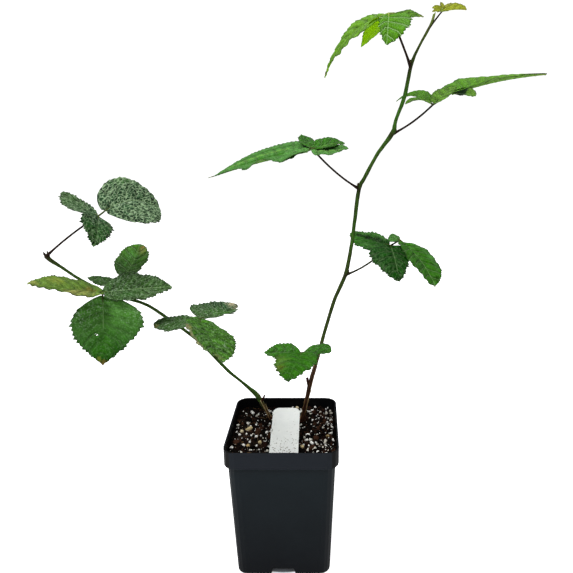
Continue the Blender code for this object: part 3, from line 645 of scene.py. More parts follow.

# %% [markdown]
# A real leaf has its own marks: a scorched tip, a bleached patch, a hole. Other spots and bands stand for the light on
# the blade's folds and pleats: those in the paint shade are painted shade along creases and folds turned from the
# light, and the light strips beside them, mostly in fresh, are painted light. They are listed by leaf, whorl and
# leaflet. A spot is its place along and across the blade, its radius, its paint and its strength. A band is a streak
# along the blade: its place across, its half width, where it starts and ends, its paint and its strength.
# A wave is the side, the place, the spread and the lift of the margin.
# The words veins, rib, net, pleats and ragged turn those features up or down on that leaflet, rib_end is where the pale
# midrib fades out and edge is how dark the teeth are painted, a painted shade along the toothed margin.

# %% Marks of single leaflets
# Spots and bands in shade are painted shade along creases and folds; the fresh strips beside them are painted light.
MARKS = {
    ("leaf_left_middle", 0, 0): {
        "spots": ((0.18, 0.85, 9, "frost", 0.8), (0.1, 0, 5, "frost", 0.5), (0.25, -0.8, 7, "frost", 0.4),
                  (0.75, 0, 8, "leaf_green", 0.6), (0.98, -0.2, 2, "brown", 0.9), (0.9, 0.5, 1.4, "yellow", 0.3)),
        "hole": (0.53, 0.18, 0.3, 1.0, 0.75), "veins": 0.1, "net": 0.15, "rib": 0.7, "rib_end": 0.5, "ragged": 0.9},
    ("leaf_left_middle", 0, 1): {
        "spots": ((0.3, -0.5, 6, "straw", 0.5), (0.48, -0.8, 4, "straw", 0.6), (0.15, 0.1, 3, "rust", 0.45),
                  (0.95, 0, 3, "straw", 0.6), (0.6, 0.5, 4, "yellow", 0.3)),
        "veins": 0.2, "rib": 0.3, "ragged": 1.1,
        "net": 0.15,
        "edge": 0.7},
    ("leaf_left_middle", 0, 2): {
        "spots": ((0.15, -0.5, 7, "frost", 0.4), (0.3, 0.5, 5, "deep", 0.4)), "veins": 0.2, "net": 0.6, "rib": 0.7,
        "bands": ((-0.8, 0.9, 0.1, 0.9, "frost", 0.5), (0.65, 0.5, 0.2, 0.9, "frost", 0.35))},
    ("leaf_left_rear", 0, 0): {
        "spots": ((0.8, 0.5, 3.5, "straw", 0.35), (0.9, 0.62, 1.6, "rust", 0.6), (0.3, -0.6, 4, "shade", 0.5),
                  (0.1, -0.6, 3, "frost", 0.4), (0.65, -0.3, 4, "fresh", 0.5)),
        "veins": 0.6, "net": 0.2, "rib": 0.3,
        "bands": ((0.25, 0.5, 0.1, 0.9, "shade", 0.5), (-0.3, 0.6, 0.2, 0.8, "fresh", 0.5))},
    ("leaf_left_rear", 0, 1): {"rib": 0.15},
    ("leaf_left_low", 0, 0): {
        "spots": ((0.37, 0.95, 3.4, "straw", 0.6), (0.37, 0.95, 1.9, "brown", 0.9), (0.56, 1, 1.6, "rust", 0.5),
                  (0.7, 1, 1.6, "straw", 0.6), (0.9, 0.4, 3, "straw", 0.3)),
        "veins": 0.3, "net": 0.6, "rib": 0.1,
        "bands": (
            (0.93, 0.7, 0.25, 0.85, "sand", 0.5), (-0.45, 0.45, 0.2, 0.85, "frost", 0.5),
            (0.2, 0.4, 0.3, 0.9, "frost", 0.45), (0.6, 0.45, 0.4, 0.95, "frost", 0.5))},
    ("leaf_left_low", 0, 1): {
        "spots": ((0.73, -1, 2.2, "shade", 0.8), (0.9, -0.68, 2, "straw", 0.6)), "veins": 0.4, "rib": 0.15,
        "bands": ((-0.3, 0.4, 0.2, 0.9, "frost", 0.7), (0.3, 0.4, 0.1, 0.8, "frost", 0.6), (0.8, 0.5, 0.2, 0.9, "shade", 0.4))},
    ("leaf_left_low", 0, 2): {
        "spots": ((0.97, 0.8, 5, "sand", 0.8), (0.75, 1, 3.5, "sand", 0.5), (0.4, 0.3, 7, "grass", 0.8)),
        "ragged": 1.3, "net": 0.5, "veins": 0.5, "rib": 0.2,
        "bands": ((-0.5, 0.6, 0.15, 0.9, "frost", 0.8), (-0.1, 0.4, 0.1, 0.8, "frost", 0.6), (0.5, 0.9, 0.1, 0.7, "deep", 0.6))},
    ("leaf_left_end", 0, 0): {
        "spots": ((0.48, -1, 5, "grass", 0.5), (0.2, -0.65, 4, "shade", 0.4)), "net": 2.2, "veins": 0.2, "rib": 0.5,
        "ragged": 0.55,
        "bands": ((0, 0.5, 0.03, 0.8, "shade", 0.75), (0.1, 0.9, 0.08, 0.75, "frost", 0.6))},
    ("leaf_left_end", 0, 1): {"net": 1.3, "veins": 0.15, "rib": 0.15, "ragged": 1.3,
        "bands": ((0, 0.4, 0.1, 0.9, "shade", 0.5),)},
    ("leaf_left_end", 0, 2): {
        "spots": ((0.65, 0, 9, "deep", 0.8), (0.1, 0, 3, "frost", 0.5)), "net": 1, "veins": 0.15, "rib": 0.2,
        "ragged": 1.5,
        "bands": ((0.3, 0.9, 0, 0.5, "frost", 0.6),)},
    ("leaf_right_low", 0, 0): {
        "spots": ((0.5, 0.85, 6, "olive", 0.5), (0.7, 0.8, 3.5, "rust", 0.25), (0.99, 0, 2.2, "shade", 0.8)),
        "ragged": 1.5, "rib": 0.08, "net": 0.12, "veins": 0.2},
    ("leaf_right_low", 0, 1): {"rib": 0.3, "rib_end": 0.8, "net": 0.12,
        "bands": ((0, 0.5, 0.05, 0.95, "shade", 0.6), (-0.4, 0.6, 0.1, 0.9, "fresh", 0.4), (0.35, 0.5, 0.1, 0.8, "fresh", 0.4))},
    ("leaf_right_low", 0, 2): {"rib": 0.15, "net": 0.15, "spots": ((0.6, 0, 8, "deep", 0.35),),
        "bands": ((0, 0.5, 0, 0.9, "shade", 0.5), (-0.4, 0.5, 0.1, 0.9, "fresh", 0.6), (0.4, 0.5, 0.1, 0.9, "deep", 0.6))},
    ("leaf_right_middle", 0, 0): {
        "veins": 0.3, "net": 0.4, "rib": 0.35, "rib_end": 0.85, "ragged": 1.1, "spots": ((0.95, 0, 2, "shade", 0.7),)},
    ("leaf_right_middle", 0, 1): {
        "spots": ((0.54, 0.15, 2.6, "shade", 0.9), (0.3, 0.25, 2.4, "shade", 0.9), (0.75, 0.1, 2.4, "shade", 0.6),
                  (0.6, 0.9, 2.6, "fresh", 0.7), (0.35, 1, 2.6, "fresh", 0.7), (0.85, 0.8, 2.2, "fresh", 0.5)),
        "veins": 0.15, "rib": 0.05,
        "bands": ((0.75, 1.1, 0.05, 0.95, "fresh", 0.8), (-0.6, 0.9, 0.1, 0.8, "fresh", 0.5), (0.2, 0.7, 0.1, 0.9, "shade", 0.8))},
    ("leaf_right_middle", 1, 0): {
        "spots": ((0.45, -0.9, 5, "fresh", 0.4), (0.6, 0.35, 5, "deep", 0.3)), "veins": 0.6, "net": 0.3, "rib": 0.7, "ragged": 0.6,
        "drip": 0.8,
        "bands": ((-0.75, 1.8, 0, 0.8, "fresh", 0.7),)},
    ("leaf_crossing", 0, 0): {
        "waves": ((-1, 0.53, 0.06, -1.4), (-1, 0.19, 0.06, -2.4), (-1, 0.36, 0.08, 1.6)),
        "spots": ((0.3, 0.15, 3, "leaf_green", 0.6), (0.5, 0.1, 3, "leaf_green", 0.6), (0.7, 0.1, 2.5, "leaf_green", 0.5)),
        "drip": 3.5, "ragged": 1.1, "veins": 0.2, "pleats": 0.35, "net": 0.1, "rib": 0.1,
        "bands": (
            (0.55, 0.9, 0.1, 0.85, "leaf_green", 1), (0.1, 0.7, 0.1, 0.8, "leaf_green", 1),
            (-0.35, 0.8, 0.15, 0.6, "leaf_green", 0.6), (0.33, 0.7, 0.1, 0.9, "under_fresh", 0.6))},
    ("leaf_crossing", 0, 2): {"spots": ((0.5, 0, 4, "deep", 0.6),), "rib": 0.1},
    ("leaf_right_high", 0, 0): {"net": 0.1, "veins": 0.15, "rib": 0.3, "pleats": 0.4},
    ("leaf_right_high", 0, 1): {"net": 0.1, "veins": 0.15, "rib": 0.1, "pleats": 0.5},
    ("leaf_right_high", 1, 0): {
        "spots": ((0.97, 0, 7, "straw", 0.3), (0.3, -0.95, 3.5, "forest", 0.8), (0.56, -0.9, 3, "forest", 0.7)),
        "veins": 0.2, "ragged": 1.1, "net": 0.1, "rib": 0.2, "pleats": 0.5,
        "waves": ((1, 0.3, 0.06, 1.2), (1, 0.55, 0.06, -1.0), (-1, 0.35, 0.08, 1.2), (-1, 0.6, 0.08, -1.0))},
    ("leaf_right_high", 1, 1): {
        "spots": ((0.05, 0, 4, "shade", 1), (0.3, 0.5, 3, "shade", 0.9), (0.3, -0.5, 3, "shade", 0.9)), "net": 0,
        "veins": 0.1, "rib": 0.1,
        "bands": ((0, 9, -0.2, 0.6, "shade", 1),)},
    ("leaf_top", 0, 0): {
        "waves": ((-1, 0.3, 0.05, -1.2), (-1, 0.49, 0.05, -1.2), (-1, 0.66, 0.04, -0.9)),
        "drip": 2.5, "ragged": 1.3, "veins": 0.4, "net": 0.1, "rib": 0.1},
    ("leaf_top", 0, 1): {"net": 0, "veins": 0.05, "rib": 0.05, "pleats": 0.4, "ragged": 0.6},
    ("leaf_top", 0, 2): {"ragged": 1.2, "veins": 1.8, "net": 0.1, "rib": 0.6},
    ("leaf_top", 0, 3): {"spots": ((0.97, 0, 2.5, "straw", 0.6),), "veins": 0.5, "net": 0.1, "rib": 0.1},
    ("leaf_tip", 0, 0): {
        "spots": ((0.75, -1, 2.4, "rust", 0.5), (0.95, 0, 1.6, "rust", 0.6)), "net": 0, "veins": 0.1, "rib": 0.1,
        "ragged": 0.5},
    ("leaf_tip", 0, 1): {"net": 0, "veins": 0.1, "rib": 0.1},
    ("leaf_tip", 0, 2): {"net": 0, "veins": 0.1, "rib": 0.1},
    ("leaf_tip", 0, 3): {"net": 0, "veins": 0.1, "rib": 0.1},
    ("leaf_crossing", 0, 3): {"bands": ((0, 0.5, 0.05, 0.9, "shade", 0.6), (0.45, 0.5, 0.1, 0.9, "under_fresh", 0.4))},
    ("leaf_crossing", 0, 4): {"bands": ((0, 0.5, 0.05, 0.9, "shade", 0.6), (0.45, 0.6, 0.1, 0.9, "under_fresh", 0.5))},
}
print("leaflets with marks of their own:", len(MARKS))

# %% [markdown]
# The blade is a grid of points with the midrib in its middle column.
# Its rows run forward from the midrib to the margin, so each side vein is one row of the grid.
# The blade bulges between the veins like a quilt. Each vein ends in a large tooth, and two
# smaller teeth follow it, all pointing forward: long on the near side and short on the far side.

# %% Line and outline of a blade
BASE_LOBE = 0.06
BULGE = 0.16
VEIN_SPACING = 5.0
TOOTH_PLACES = (0, 0.12, 0.33, 0.43, 0.67, 0.77, 1)
TOOTH_HEIGHTS = (1, 0.12, 0.66, 0.2, 0.8, 0.28, 1)


def blade_frame(leaflet, base, s):
    """The midrib at shares of the length, with the directions across and up."""
    bend = math.radians(leaflet.droop) or 1e-4
    start = math.radians(leaflet.pitch) + bend / 2
    slope = start - bend * s
    level = leaflet.length * (math.sin(start) - np.sin(slope)) / bend
    rise = leaflet.length * (np.cos(slope) - math.cos(start)) / bend
    ahead = heading_vector(leaflet.heading, 0)
    side = np.array([ahead[1], -ahead[0], 0.0])
    up = np.array([0, 0, 1.0])
    tangent = np.cos(slope)[..., None] * ahead + np.sin(slope)[..., None] * up
    normal = np.cross(np.broadcast_to(side, tangent.shape), tangent)
    roll = math.radians(leaflet.roll)
    across = side * math.cos(roll) + normal * math.sin(roll)
    upward = normal * math.cos(roll) - side * math.sin(roll)
    sweep = leaflet.sweep * leaflet.length * np.clip(s, 0, 1) ** 2
    middle = base + level[..., None] * ahead + rise[..., None] * up + sweep[..., None] * across
    return middle, across, upward


def half_width(leaflet, s, t):
    """The half width on the side of t at shares of the length."""
    widest, fullness = OUTLINES[leaflet.outline]
    inside = np.clip(s, 0.002, 0.9995)
    shape = (inside / widest) ** fullness * ((1 - inside) / (1 - widest)) ** (fullness * (1 - widest) / widest)
    return leaflet.width * np.where(t < 0, leaflet.share, 1 - leaflet.share) * shape


print("vein spacing", VEIN_SPACING, "mm, teeth a vein:", TOOTH_HEIGHTS.count(1) + 1)

# %% Blade of one leaflet
def blade_rows(leaflet, drip):
    """The grid of a blade: shares along the veins' rows and shares across."""
    veins = max(4, round(leaflet.length / VEIN_SPACING))
    small = leaflet.length < 18
    rows = veins * (12 if small else 20) + 1
    v = np.linspace(0.004, 0.999, rows)
    if drip:
        v = np.concatenate([v, 1 + np.linspace(0.1, 1, 7) * drip / leaflet.length])
    reach = np.linspace(0, 1, 13 if small else 19)[1:]
    t = np.concatenate([-reach[::-1], [0], reach])
    return (veins, *np.meshgrid(v, t, indexing="ij"))


def blade_teeth(phase, t, veins, dice):
    """Heights of the teeth from 0 to 1, each side with its own irregular run."""
    heights = np.interp(phase % 1, TOOTH_PLACES, TOOTH_HEIGHTS)
    for side in (-1, 1):
        draws = [dice.uniform(0.7, 1.2) for _ in range(3 * veins + 9)]
        uneven = np.interp(phase * 3, np.arange(len(draws)), draws)
        heights = np.where(np.sign(t) == side, heights * uneven, heights)
    return heights


def spot_weight(leaflet, s, from_rib, spot):
    """How much a round spot with a rough edge covers every point."""
    at, over, radius = spot
    centre = over * half_width(leaflet, np.array(at), np.array(over))
    along = s * leaflet.length
    rough = [noise.noise(Vector((float(a), float(b), radius)) * 0.9) for a, b in zip(along.ravel(), from_rib.ravel())]
    distance = np.hypot(along - at * leaflet.length, from_rib - centre)
    return np.clip(1.25 - distance / radius + 0.7 * np.reshape(rough, s.shape), 0, 1)[..., None]


def band_weight(half, s, from_rib, band):
    """How much a lengthwise streak covers every point, fading at both ends."""
    over, wide, start, end = band
    beside = np.abs(from_rib - over * half) / wide
    return (np.clip(1.4 - beside, 0, 1) * np.clip(np.minimum(s - start, end - s) * 8, 0, 1))[..., None]


def paint_blade(leaflet, marks, s, from_rib, half):
    """The colours of every point above and below, and its bloom, from the paints and the marks."""
    share = np.clip(s * 1.2 - 0.1, 0, 1)[..., None]
    tint = PAINTS[leaflet.base] + (PAINTS[leaflet.tip] - PAINTS[leaflet.base]) * share
    under = PAINTS[leaflet.under] * 0.8 + tint * 0.2
    bloom = np.full(share.shape, float(leaflet.bloom))
    touches = [(spot_weight(leaflet, s, from_rib, m[:3]), m[3], m[4]) for m in marks.get("spots", ())]
    touches += [(band_weight(half, s, from_rib, m[:4]), m[4], m[5]) for m in marks.get("bands", ())]
    for cover, paint, strength in touches:
        weight = strength * cover
        if paint == "frost":
            bloom = bloom + (1 - bloom) * weight
        else:
            tint = tint + (PAINTS[paint] - tint) * weight
            under = under + (PAINTS[paint] - under) * weight
    return tint, under, bloom


def blade_arrays(leaflet, base, fold, seed, marks):
    """Points, faces, colours, habit and leaf coordinates of one closed blade."""
    dice = random.Random(seed)
    drip = marks.get("drip", 0)
    veins, v, t = blade_rows(leaflet, drip)
    away = np.abs(t)
    slant = min(0.28, 0.62 * max(leaflet.share, 1 - leaflet.share) * leaflet.width / leaflet.length)
    inside = np.clip(v, 0, 1)
    s = np.where(v > 1, v, inside ** 1.25 + slant * np.sin(math.pi * inside) * away ** 1.15)
    phase = veins * v + np.sign(t) * 0.22 * np.clip(away * 4, 0, 1)
    teeth = blade_teeth(phase, t, veins, dice)
    half = half_width(leaflet, s, t)
    size = min(1.0, leaflet.width / 26)
    depth = 0.36 * math.sqrt(leaflet.width) * marks.get("ragged", 1)
    edge = np.clip((away - 0.7) / 0.3, 0, 1) ** 1.4
    out = half * away + edge * (teeth - 0.5) * depth * np.clip(half / 2.5, 0, 1)
    ahead = edge * teeth * depth * 0.6 / leaflet.length
    out = np.where(v > 1, away * 0.16, np.maximum(out, 0.14 * away))
    along = np.where(v > 1, s, s + ahead * (1 - s) - BASE_LOBE * away * (1 - s) ** 6)
    middle, across, upward = blade_frame(leaflet, base, along)
    between = np.abs(np.sin(math.pi * phase))
    quilt = (between ** 0.7 - 0.55) * np.clip(away * 6, 0, 1) * (1 - away ** 4)
    wave = away ** 2 * (0.5 * np.sin(s * dice.uniform(9, 14) + dice.uniform(0, 6)) + 0.3 * np.sin(phase * 2 * math.pi))
    pleats = size * marks.get("pleats", 1) * (0.85 * quilt + wave)
    lift = out * (math.sin(math.radians(fold)) + BULGE * (1 - away)) + pleats
    for side, at, spread, rise in marks.get("waves", ()):
        lift = lift + np.where(np.sign(t) == side, rise * away ** 2 * np.exp(-((s - at) / spread) ** 2), 0)
    from_rib = out * np.sign(t)
    rib = np.exp(-(from_rib / 0.5) ** 2) * np.sqrt(np.clip(1 - s, 0, 1))
    lift = lift - size * 0.4 * rib
    flat = from_rib * math.cos(math.radians(fold))
    top = middle + flat[..., None] * across + lift[..., None] * upward
    ridge = np.clip(1 - between * 3.5, 0, 1) * (1 - away)
    thick = 0.2 + size * (0.55 * rib + 0.14 * ridge)
    bottom = top - thick[..., None] * upward
    faces = blade_faces(v, t, s, half, leaflet, marks.get("hole"))
    tint, under, bloom = paint_blade(leaflet, marks, s, from_rib, half)
    # The toothed margin is painted darker: painted shade in the serrations.
    margin = 1 - marks.get("edge", 0.4) * np.clip((away - 0.88) / 0.1, 0, 1)[..., None]
    tint, under = tint * margin, under * margin
    if drip:
        tint = np.where((v > 1)[..., None], PAINTS["brown"], tint)
    rib_left = np.clip((marks.get("rib_end", 1.2) - s) * 8, 0, 1)[..., None]
    lines = (marks.get("veins", 0.3), 0.35 * marks.get("net", 0.3))
    habit = np.concatenate([bloom, np.zeros((*v.shape, 2)) + lines, marks.get("rib", 0.25) * rib_left], -1)
    below = habit * (0.4, 1.3, 0.6, 1.5)
    place = np.stack([phase, from_rib], -1)
    gathered = [np.concatenate([a.reshape(-1, a.shape[-1]), b.reshape(-1, b.shape[-1])])
                for a, b in ((top, bottom), (tint, under), (habit, below), (place, place))]
    return (gathered[0], faces, *gathered[1:])


def blade_faces(v, t, s, half, leaflet, hole):
    """Faces above and below, and walls wherever a kept cell has no neighbour."""
    rows, columns = v.shape
    grid = np.arange(rows * columns).reshape(rows, columns)
    kept = np.ones((rows - 1, columns - 1), bool)
    if hole:
        at, over, long, wide, slant = hole
        beside = half * t - over * half_width(leaflet, np.array(at), np.array(over))
        gap = (((s - at) * leaflet.length + slant * beside) / long) ** 2 + (beside / wide) ** 2
        kept = gap[:-1, :-1] > 1
    corners = (grid[:-1, :-1], grid[:-1, 1:], grid[1:, 1:], grid[1:, :-1])
    below = rows * columns
    top = np.stack([c[kept] for c in corners], -1)
    faces = [top, top[:, ::-1] + below]
    padded = np.pad(kept, 1)
    beside = (padded[:-2, 1:-1], padded[1:-1, 2:], padded[2:, 1:-1], padded[1:-1, :-2])
    for k, neighbour in enumerate(beside):
        rim = kept & ~neighbour
        a, b = corners[k][rim], corners[(k + 1) % 4][rim]
        faces.append(np.stack([b, a, a + below, b + below], -1))
    return np.concatenate(faces)


print("blade maker ready")

# %% [markdown]
# Bramble leaves are satin above, with sunken pale veins and a fine net between them.
# Old leaves carry short whitish hairs that catch the light, young ones are clean and bright.
# The paint is dealt out leaflet by leaflet. The material draws veins and net in the leaf's own coordinates, so they
# follow the blade, and adds blotches, hairs, a puckered relief, and painted shade on the banks beside the veins with
# painted light in the middle of each panel.

# %% Material of the leaves
NET_CELL = 1.8
STREAK = 1.1
green = new_material("bramble_leaf")
tint = add(green, "VertexColor", layer_name="tint")
habit = add(green, "VertexColor", layer_name="habit")
rib_share = habit.node.outputs["Alpha"]
bloom = add(green, "SeparateColor", {"Color": habit})
vein_share, net_share = bloom.node.outputs["Green"], bloom.node.outputs["Blue"]
phase = add(green, "SeparateXYZ", {"Vector": add(green, "UVMap", out="UV", uv_map="leaf")})
from_rib = phase.node.outputs["Y"]
place = add(green, "TexCoord", out="Object")
off_vein = add(green, "Math", {0: phase, 1: 0.5}, operation="PINGPONG")
side_vein = add(green, "MapRange", {"Value": off_vein, "From Min": 0.05, "From Max": 0.012})
off_rib = add(green, "Math", {0: from_rib}, operation="ABSOLUTE")
rib = add(green, "MapRange", {"Value": off_rib, "From Min": 0.28, "From Max": 0.08})
fading = add(green, "MapRange", {"Value": off_rib, "From Min": 4.0, "From Max": 16.0, "To Min": 0.75, "To Max": 0.4})
soft_vein = add(green, "Math", {0: side_vein, 1: fading}, operation="MULTIPLY")
side_fac = add(green, "Math", {0: soft_vein, 1: vein_share}, operation="MULTIPLY")
rib_fac = add(green, "Math", {0: rib, 1: rib_share}, operation="MULTIPLY")
vein_fac = add(green, "Math", {0: side_fac, 1: rib_fac}, operation="MAXIMUM")
along = add(green, "Math", {0: phase, 1: VEIN_SPACING}, operation="MULTIPLY")
leaf_place = add(green, "CombineXYZ", {"X": along, "Y": from_rib})
sway = add(green, "TexNoise", {"Vector": place, "Scale": 1 / (1.8 * MM), "Detail": 2.0}, "Color")
crooked = add(green, "VectorMath", {0: sway, 1: (1.1, 1.1, 0.0), 2: leaf_place}, operation="MULTIPLY_ADD")
net = add(green, "TexVoronoi", {"Vector": crooked, "Scale": 1 / NET_CELL}, "Distance", feature="DISTANCE_TO_EDGE")
net_line = add(green, "MapRange", {"Value": net, "From Min": 0.16, "From Max": 0.04})
blotch = add(green, "TexNoise", {"Vector": place, "Scale": 1 / (5 * MM), "Detail": 5.0})
uneven = add(green, "MapRange", {"Value": blotch, "From Min": 0.3, "From Max": 0.7, "To Min": -0.4, "To Max": 0.3})
mottle = add(green, "TexNoise", {"Vector": place, "Scale": 1 / (1.6 * MM), "Detail": 3.0})
centred = add(green, "MapRange", {"Value": mottle, "From Min": 0.35, "From Max": 0.65, "To Min": -0.24, "To Max": 0.2})
clouds = add(green, "Math", {0: uneven, 1: centred})
hairs = add(green, "TexNoise", {"Vector": place, "Scale": 1 / (0.8 * MM), "Detail": 3.0})
combed = add(green, "VectorMath", {0: crooked, 1: (1.0, 0.25, 1.0)}, operation="MULTIPLY")
streaks = add(green, "TexNoise", {"Vector": combed, "Scale": 1 / STREAK, "Detail": 3.0})
streaked = add(green, "Math", {0: hairs, 1: 0.35, 2: streaks}, operation="MULTIPLY_ADD")
grain = add(green, "MapRange", {
    "Value": streaked, "From Min": 0.53, "From Max": 0.82, "To Min": -0.6, "To Max": 0.55})
tone = add(green, "Math", {0: clouds, 1: grain})
aged = add(green, "MapRange", {"Value": net_share, "From Max": 0.3, "To Min": 0.25})
rough_tone = add(green, "Math", {0: tone, 1: aged, 2: 1.0}, operation="MULTIPLY_ADD")
fine = add(green, "Math", {0: rough_tone, 1: 0.12}, operation="MAXIMUM")
# Beside each sunken vein the colour is painted darker, and lighter in the middle of each panel: painted shade and
# painted light.
vein_bank_shade = add(green, "MapRange", {"Value": off_vein, "From Min": 0.04, "From Max": 0.3, "To Min": -0.36, "To Max": 0.16})
marked = add(green, "MapRange", {"Value": vein_share, "From Max": 0.3})
beside = add(green, "Math", {0: vein_bank_shade, 1: marked, 2: 1.0}, operation="MULTIPLY_ADD")
shaded = add(green, "Math", {0: fine, 1: beside}, operation="MULTIPLY")
body = add(green, "Mix", {0: 1.0, 6: tint, 7: shaded}, 2, data_type="RGBA", blend_type="MULTIPLY")
pale = add(green, "Mix", {0: 0.6, 6: tint, 7: colour("#A9D08C")}, 2, data_type="RGBA")
broken = add(green, "MapRange", {"Value": mottle, "From Min": 0.42, "From Max": 0.56, "To Min": 0.3})
lines = add(green, "Math", {0: net_line, 1: broken}, operation="MULTIPLY")
net_fac = add(green, "Math", {0: lines, 1: net_share}, operation="MULTIPLY")
net_paint = add(green, "Mix", {0: bloom, 6: pale, 7: colour("#A5BD9C")}, 2, data_type="RGBA")
netted = add(green, "Mix", {0: net_fac, 6: body, 7: net_paint}, 2, data_type="RGBA")
veined = add(green, "Mix", {0: vein_fac, 6: netted, 7: pale}, 2, data_type="RGBA")
tufts = add(green, "Math", {0: lines, 1: 0.12, 2: hairs}, operation="MULTIPLY_ADD")
white_hairs = add(green, "MapRange", {"Value": tufts, "From Min": 0.57, "From Max": 0.75, "To Max": 0.65})
bloom_fac = add(green, "Math", {0: white_hairs, 1: bloom}, operation="MULTIPLY")
frosted = add(green, "Mix", {0: bloom_fac, 6: veined, 7: colour("#B4CBB0")}, 2, data_type="RGBA")
puckers = add(green, "MapRange", {"Value": net, "From Min": 0.0, "From Max": 0.3})
bumps = add(green, "Math", {0: hairs, 1: 0.35, 2: puckers}, operation="MULTIPLY_ADD")
relief = add(green, "Bump", {"Height": bumps, "Strength": 0.5, "Distance": 0.22 * MM})
blade_skin = add(green, "BsdfPrincipled", {
    "Base Color": frosted, "Roughness": 0.5, "Specular IOR Level": 0.05, "Normal": relief})
add(green, "OutputMaterial", {"Surface": blade_skin})
print("leaf material nodes:", len(green.node_tree.nodes))

# %% [markdown]
# Stalks and canes share one skin: smooth, a little streaked along, dull rather than shiny.
# The sun turns the stalks and the joints dark red-brown, and the rest stays green.

# %% Material of the stalks and canes
young_bark = new_material("young_bark")
place = add(young_bark, "TexCoord", out="Object")
stretched = add(young_bark, "Mapping", {"Vector": place, "Scale": (1.0, 1.0, 0.3)})
flecks = add(young_bark, "TexNoise", {"Vector": stretched, "Scale": 1 / (0.9 * MM), "Detail": 5.0})
shade = add(young_bark, "MapRange", {"Value": flecks, "From Min": 0.35, "From Max": 0.65, "To Min": 0.65, "To Max": 1.2})
tint = add(young_bark, "VertexColor", layer_name="tint")
streaked = add(young_bark, "Mix", {0: 1.0, 6: tint, 7: shade}, 2, data_type="RGBA", blend_type="MULTIPLY")
relief = add(young_bark, "Bump", {"Height": flecks, "Strength": 0.4, "Distance": 0.12 * MM})
rind = add(young_bark, "BsdfPrincipled", {
    "Base Color": streaked, "Roughness": 0.55, "Specular IOR Level": 0.08, "Normal": relief})
add(young_bark, "OutputMaterial", {"Surface": rind})
print("bark ready")

# %% [markdown]
# Stalks start at the cane's middle, so no gap shows, and swell where they leave it.
# Each leaflet has a little stalk of its own that runs on into the back of its midrib.
# Two threads, the stipules, stand at the foot of every leaf, and a bud sits over it.

# %% Paints of stalks and canes
BARK = {
    "red": "#2A1A14", "dusky": "#2B2417", "stalk_green": "#4A5A28", "cane_green": "#3C6A1E",
    "dull_green": "#38451C", "foot": "#371F14", "tan": "#8A6A46", "sheath": "#B9A87C", "bud": "#2E2A18",
    "stipule": "#6E8A3A", "stub": "#3E1C14", "young": "#8CA04A", "node_green": "#3F5F24",
}
BARK = {name: np.array(colour(code)) for name, code in BARK.items()}
CANES = {
    "cane_right": (
        (10, 12.5, 77.5, 2.1), (11, 12.5, 81, 1.45), (12.5, 12.5, 88.5, 1.3), (15.6, 11.5, 103.9, 1.3),
        (18.7, 10.5, 116, 1.09), (24.4, 9, 138.9, 0.93), (29.6, 8, 157.4, 0.91), (35.6, 6, 173.2, 1.02),
        (38.6, 5.5, 190, 0.91), (40.1, 5, 203.2, 0.9), (41.8, 2, 220.1, 1), (44.6, 1, 226.4, 0.9),
        (50.6, 0, 238, 0.82), (57.8, -2, 248.7, 1.11), (59.2, -3, 255, 0.77), (62.8, -4, 265.7, 0.85),
        (65.1, -6, 279.8, 0.78), (67.9, -7, 287.3, 0.5), (73.1, -8, 297.3, 0.51), (74.3, -8, 301.9, 0.25),
    ),
    "cane_left": (
        (-9, 15, 77.5, 1.7), (-10.5, 15, 80.5, 1.1), (-13.5, 15, 86, 1.2), (-17.5, 15, 94, 1.5),
        (-26.5, 14, 103.5, 0.8), (-34.9, 12.5, 112.4, 0.77), (-47.2, 9.5, 129, 0.75), (-55.2, 8, 137.3, 0.73),
        (-68.1, 5, 149.3, 0.73), (-78.3, 3, 157, 0.7), (-98.3, 1, 164.1, 0.78), (-104.8, 0, 168.2, 0.66),
        (-112.2, -0.5, 173.1, 0.61), (-118.5, -1, 178.2, 0.64), (-123.9, -2, 182.7, 0.93), (-126.4, -2.2, 185.3, 0.94),
    ),
}


def point_on_cane(cane, height):
    """The cane's middle at a height, with its radius there and its direction."""
    line = smooth_line(CANES[cane], 2)
    for low, high in zip(line, line[1:]):
        if low[2] <= height <= high[2]:
            share = (height - low[2]) / (high[2] - low[2])
            return low + (high - low) * share, (high - low)[:3] / np.linalg.norm((high - low)[:3])
    return line[-1], np.array([0, 0, 1.0])


print("right cane rises to", CANES["cane_right"][-1][2], "mm")

# %% Build every compound leaf
STALK_RADIUS = 0.55
LEAFLET_STALK_RADIUS = 0.42
STALK_PAINTS = {
    "leaf_left_low": ("cane_green", "stalk_green", "stalk_green"),
    "leaf_left_middle": ("cane_green", "stalk_green", "stalk_green"),
    "leaf_left_rear": ("cane_green", "stalk_green", "stalk_green"),
    "leaf_right_low": ("cane_green", "stalk_green", "stalk_green"),
    "leaf_right_middle": ("dusky", "dull_green", "stalk_green"),
    "leaf_top": ("red", "dusky", "young"),
    "leaf_tip": ("dusky", "dusky", "young"),
}


def stalk_line(start, end, rise, thick, thin, parts=16):
    """A stalk between two points, bowed upward by a share of its length."""
    t = np.linspace(0, 1, parts + 1)[:, None]
    bow = np.array([0, 0, 1.0]) * 4 * t * (1 - t) * rise * np.linalg.norm(end - start)
    return np.hstack([start + (end - start) * t + bow, thick + (thin - thick) * t])


def put_tube(heap, line, sides, low, high, seed, ripple=0.1):
    """Adds a tube to a heap, its colour running from one bark paint to another."""
    points, faces = tube_arrays(line, sides, ripple, seed)
    shares = np.repeat(np.linspace(0, 1, len(line)), sides)
    heap.put(points, faces, [blend(BARK[low], BARK[high], share) for share in shares])


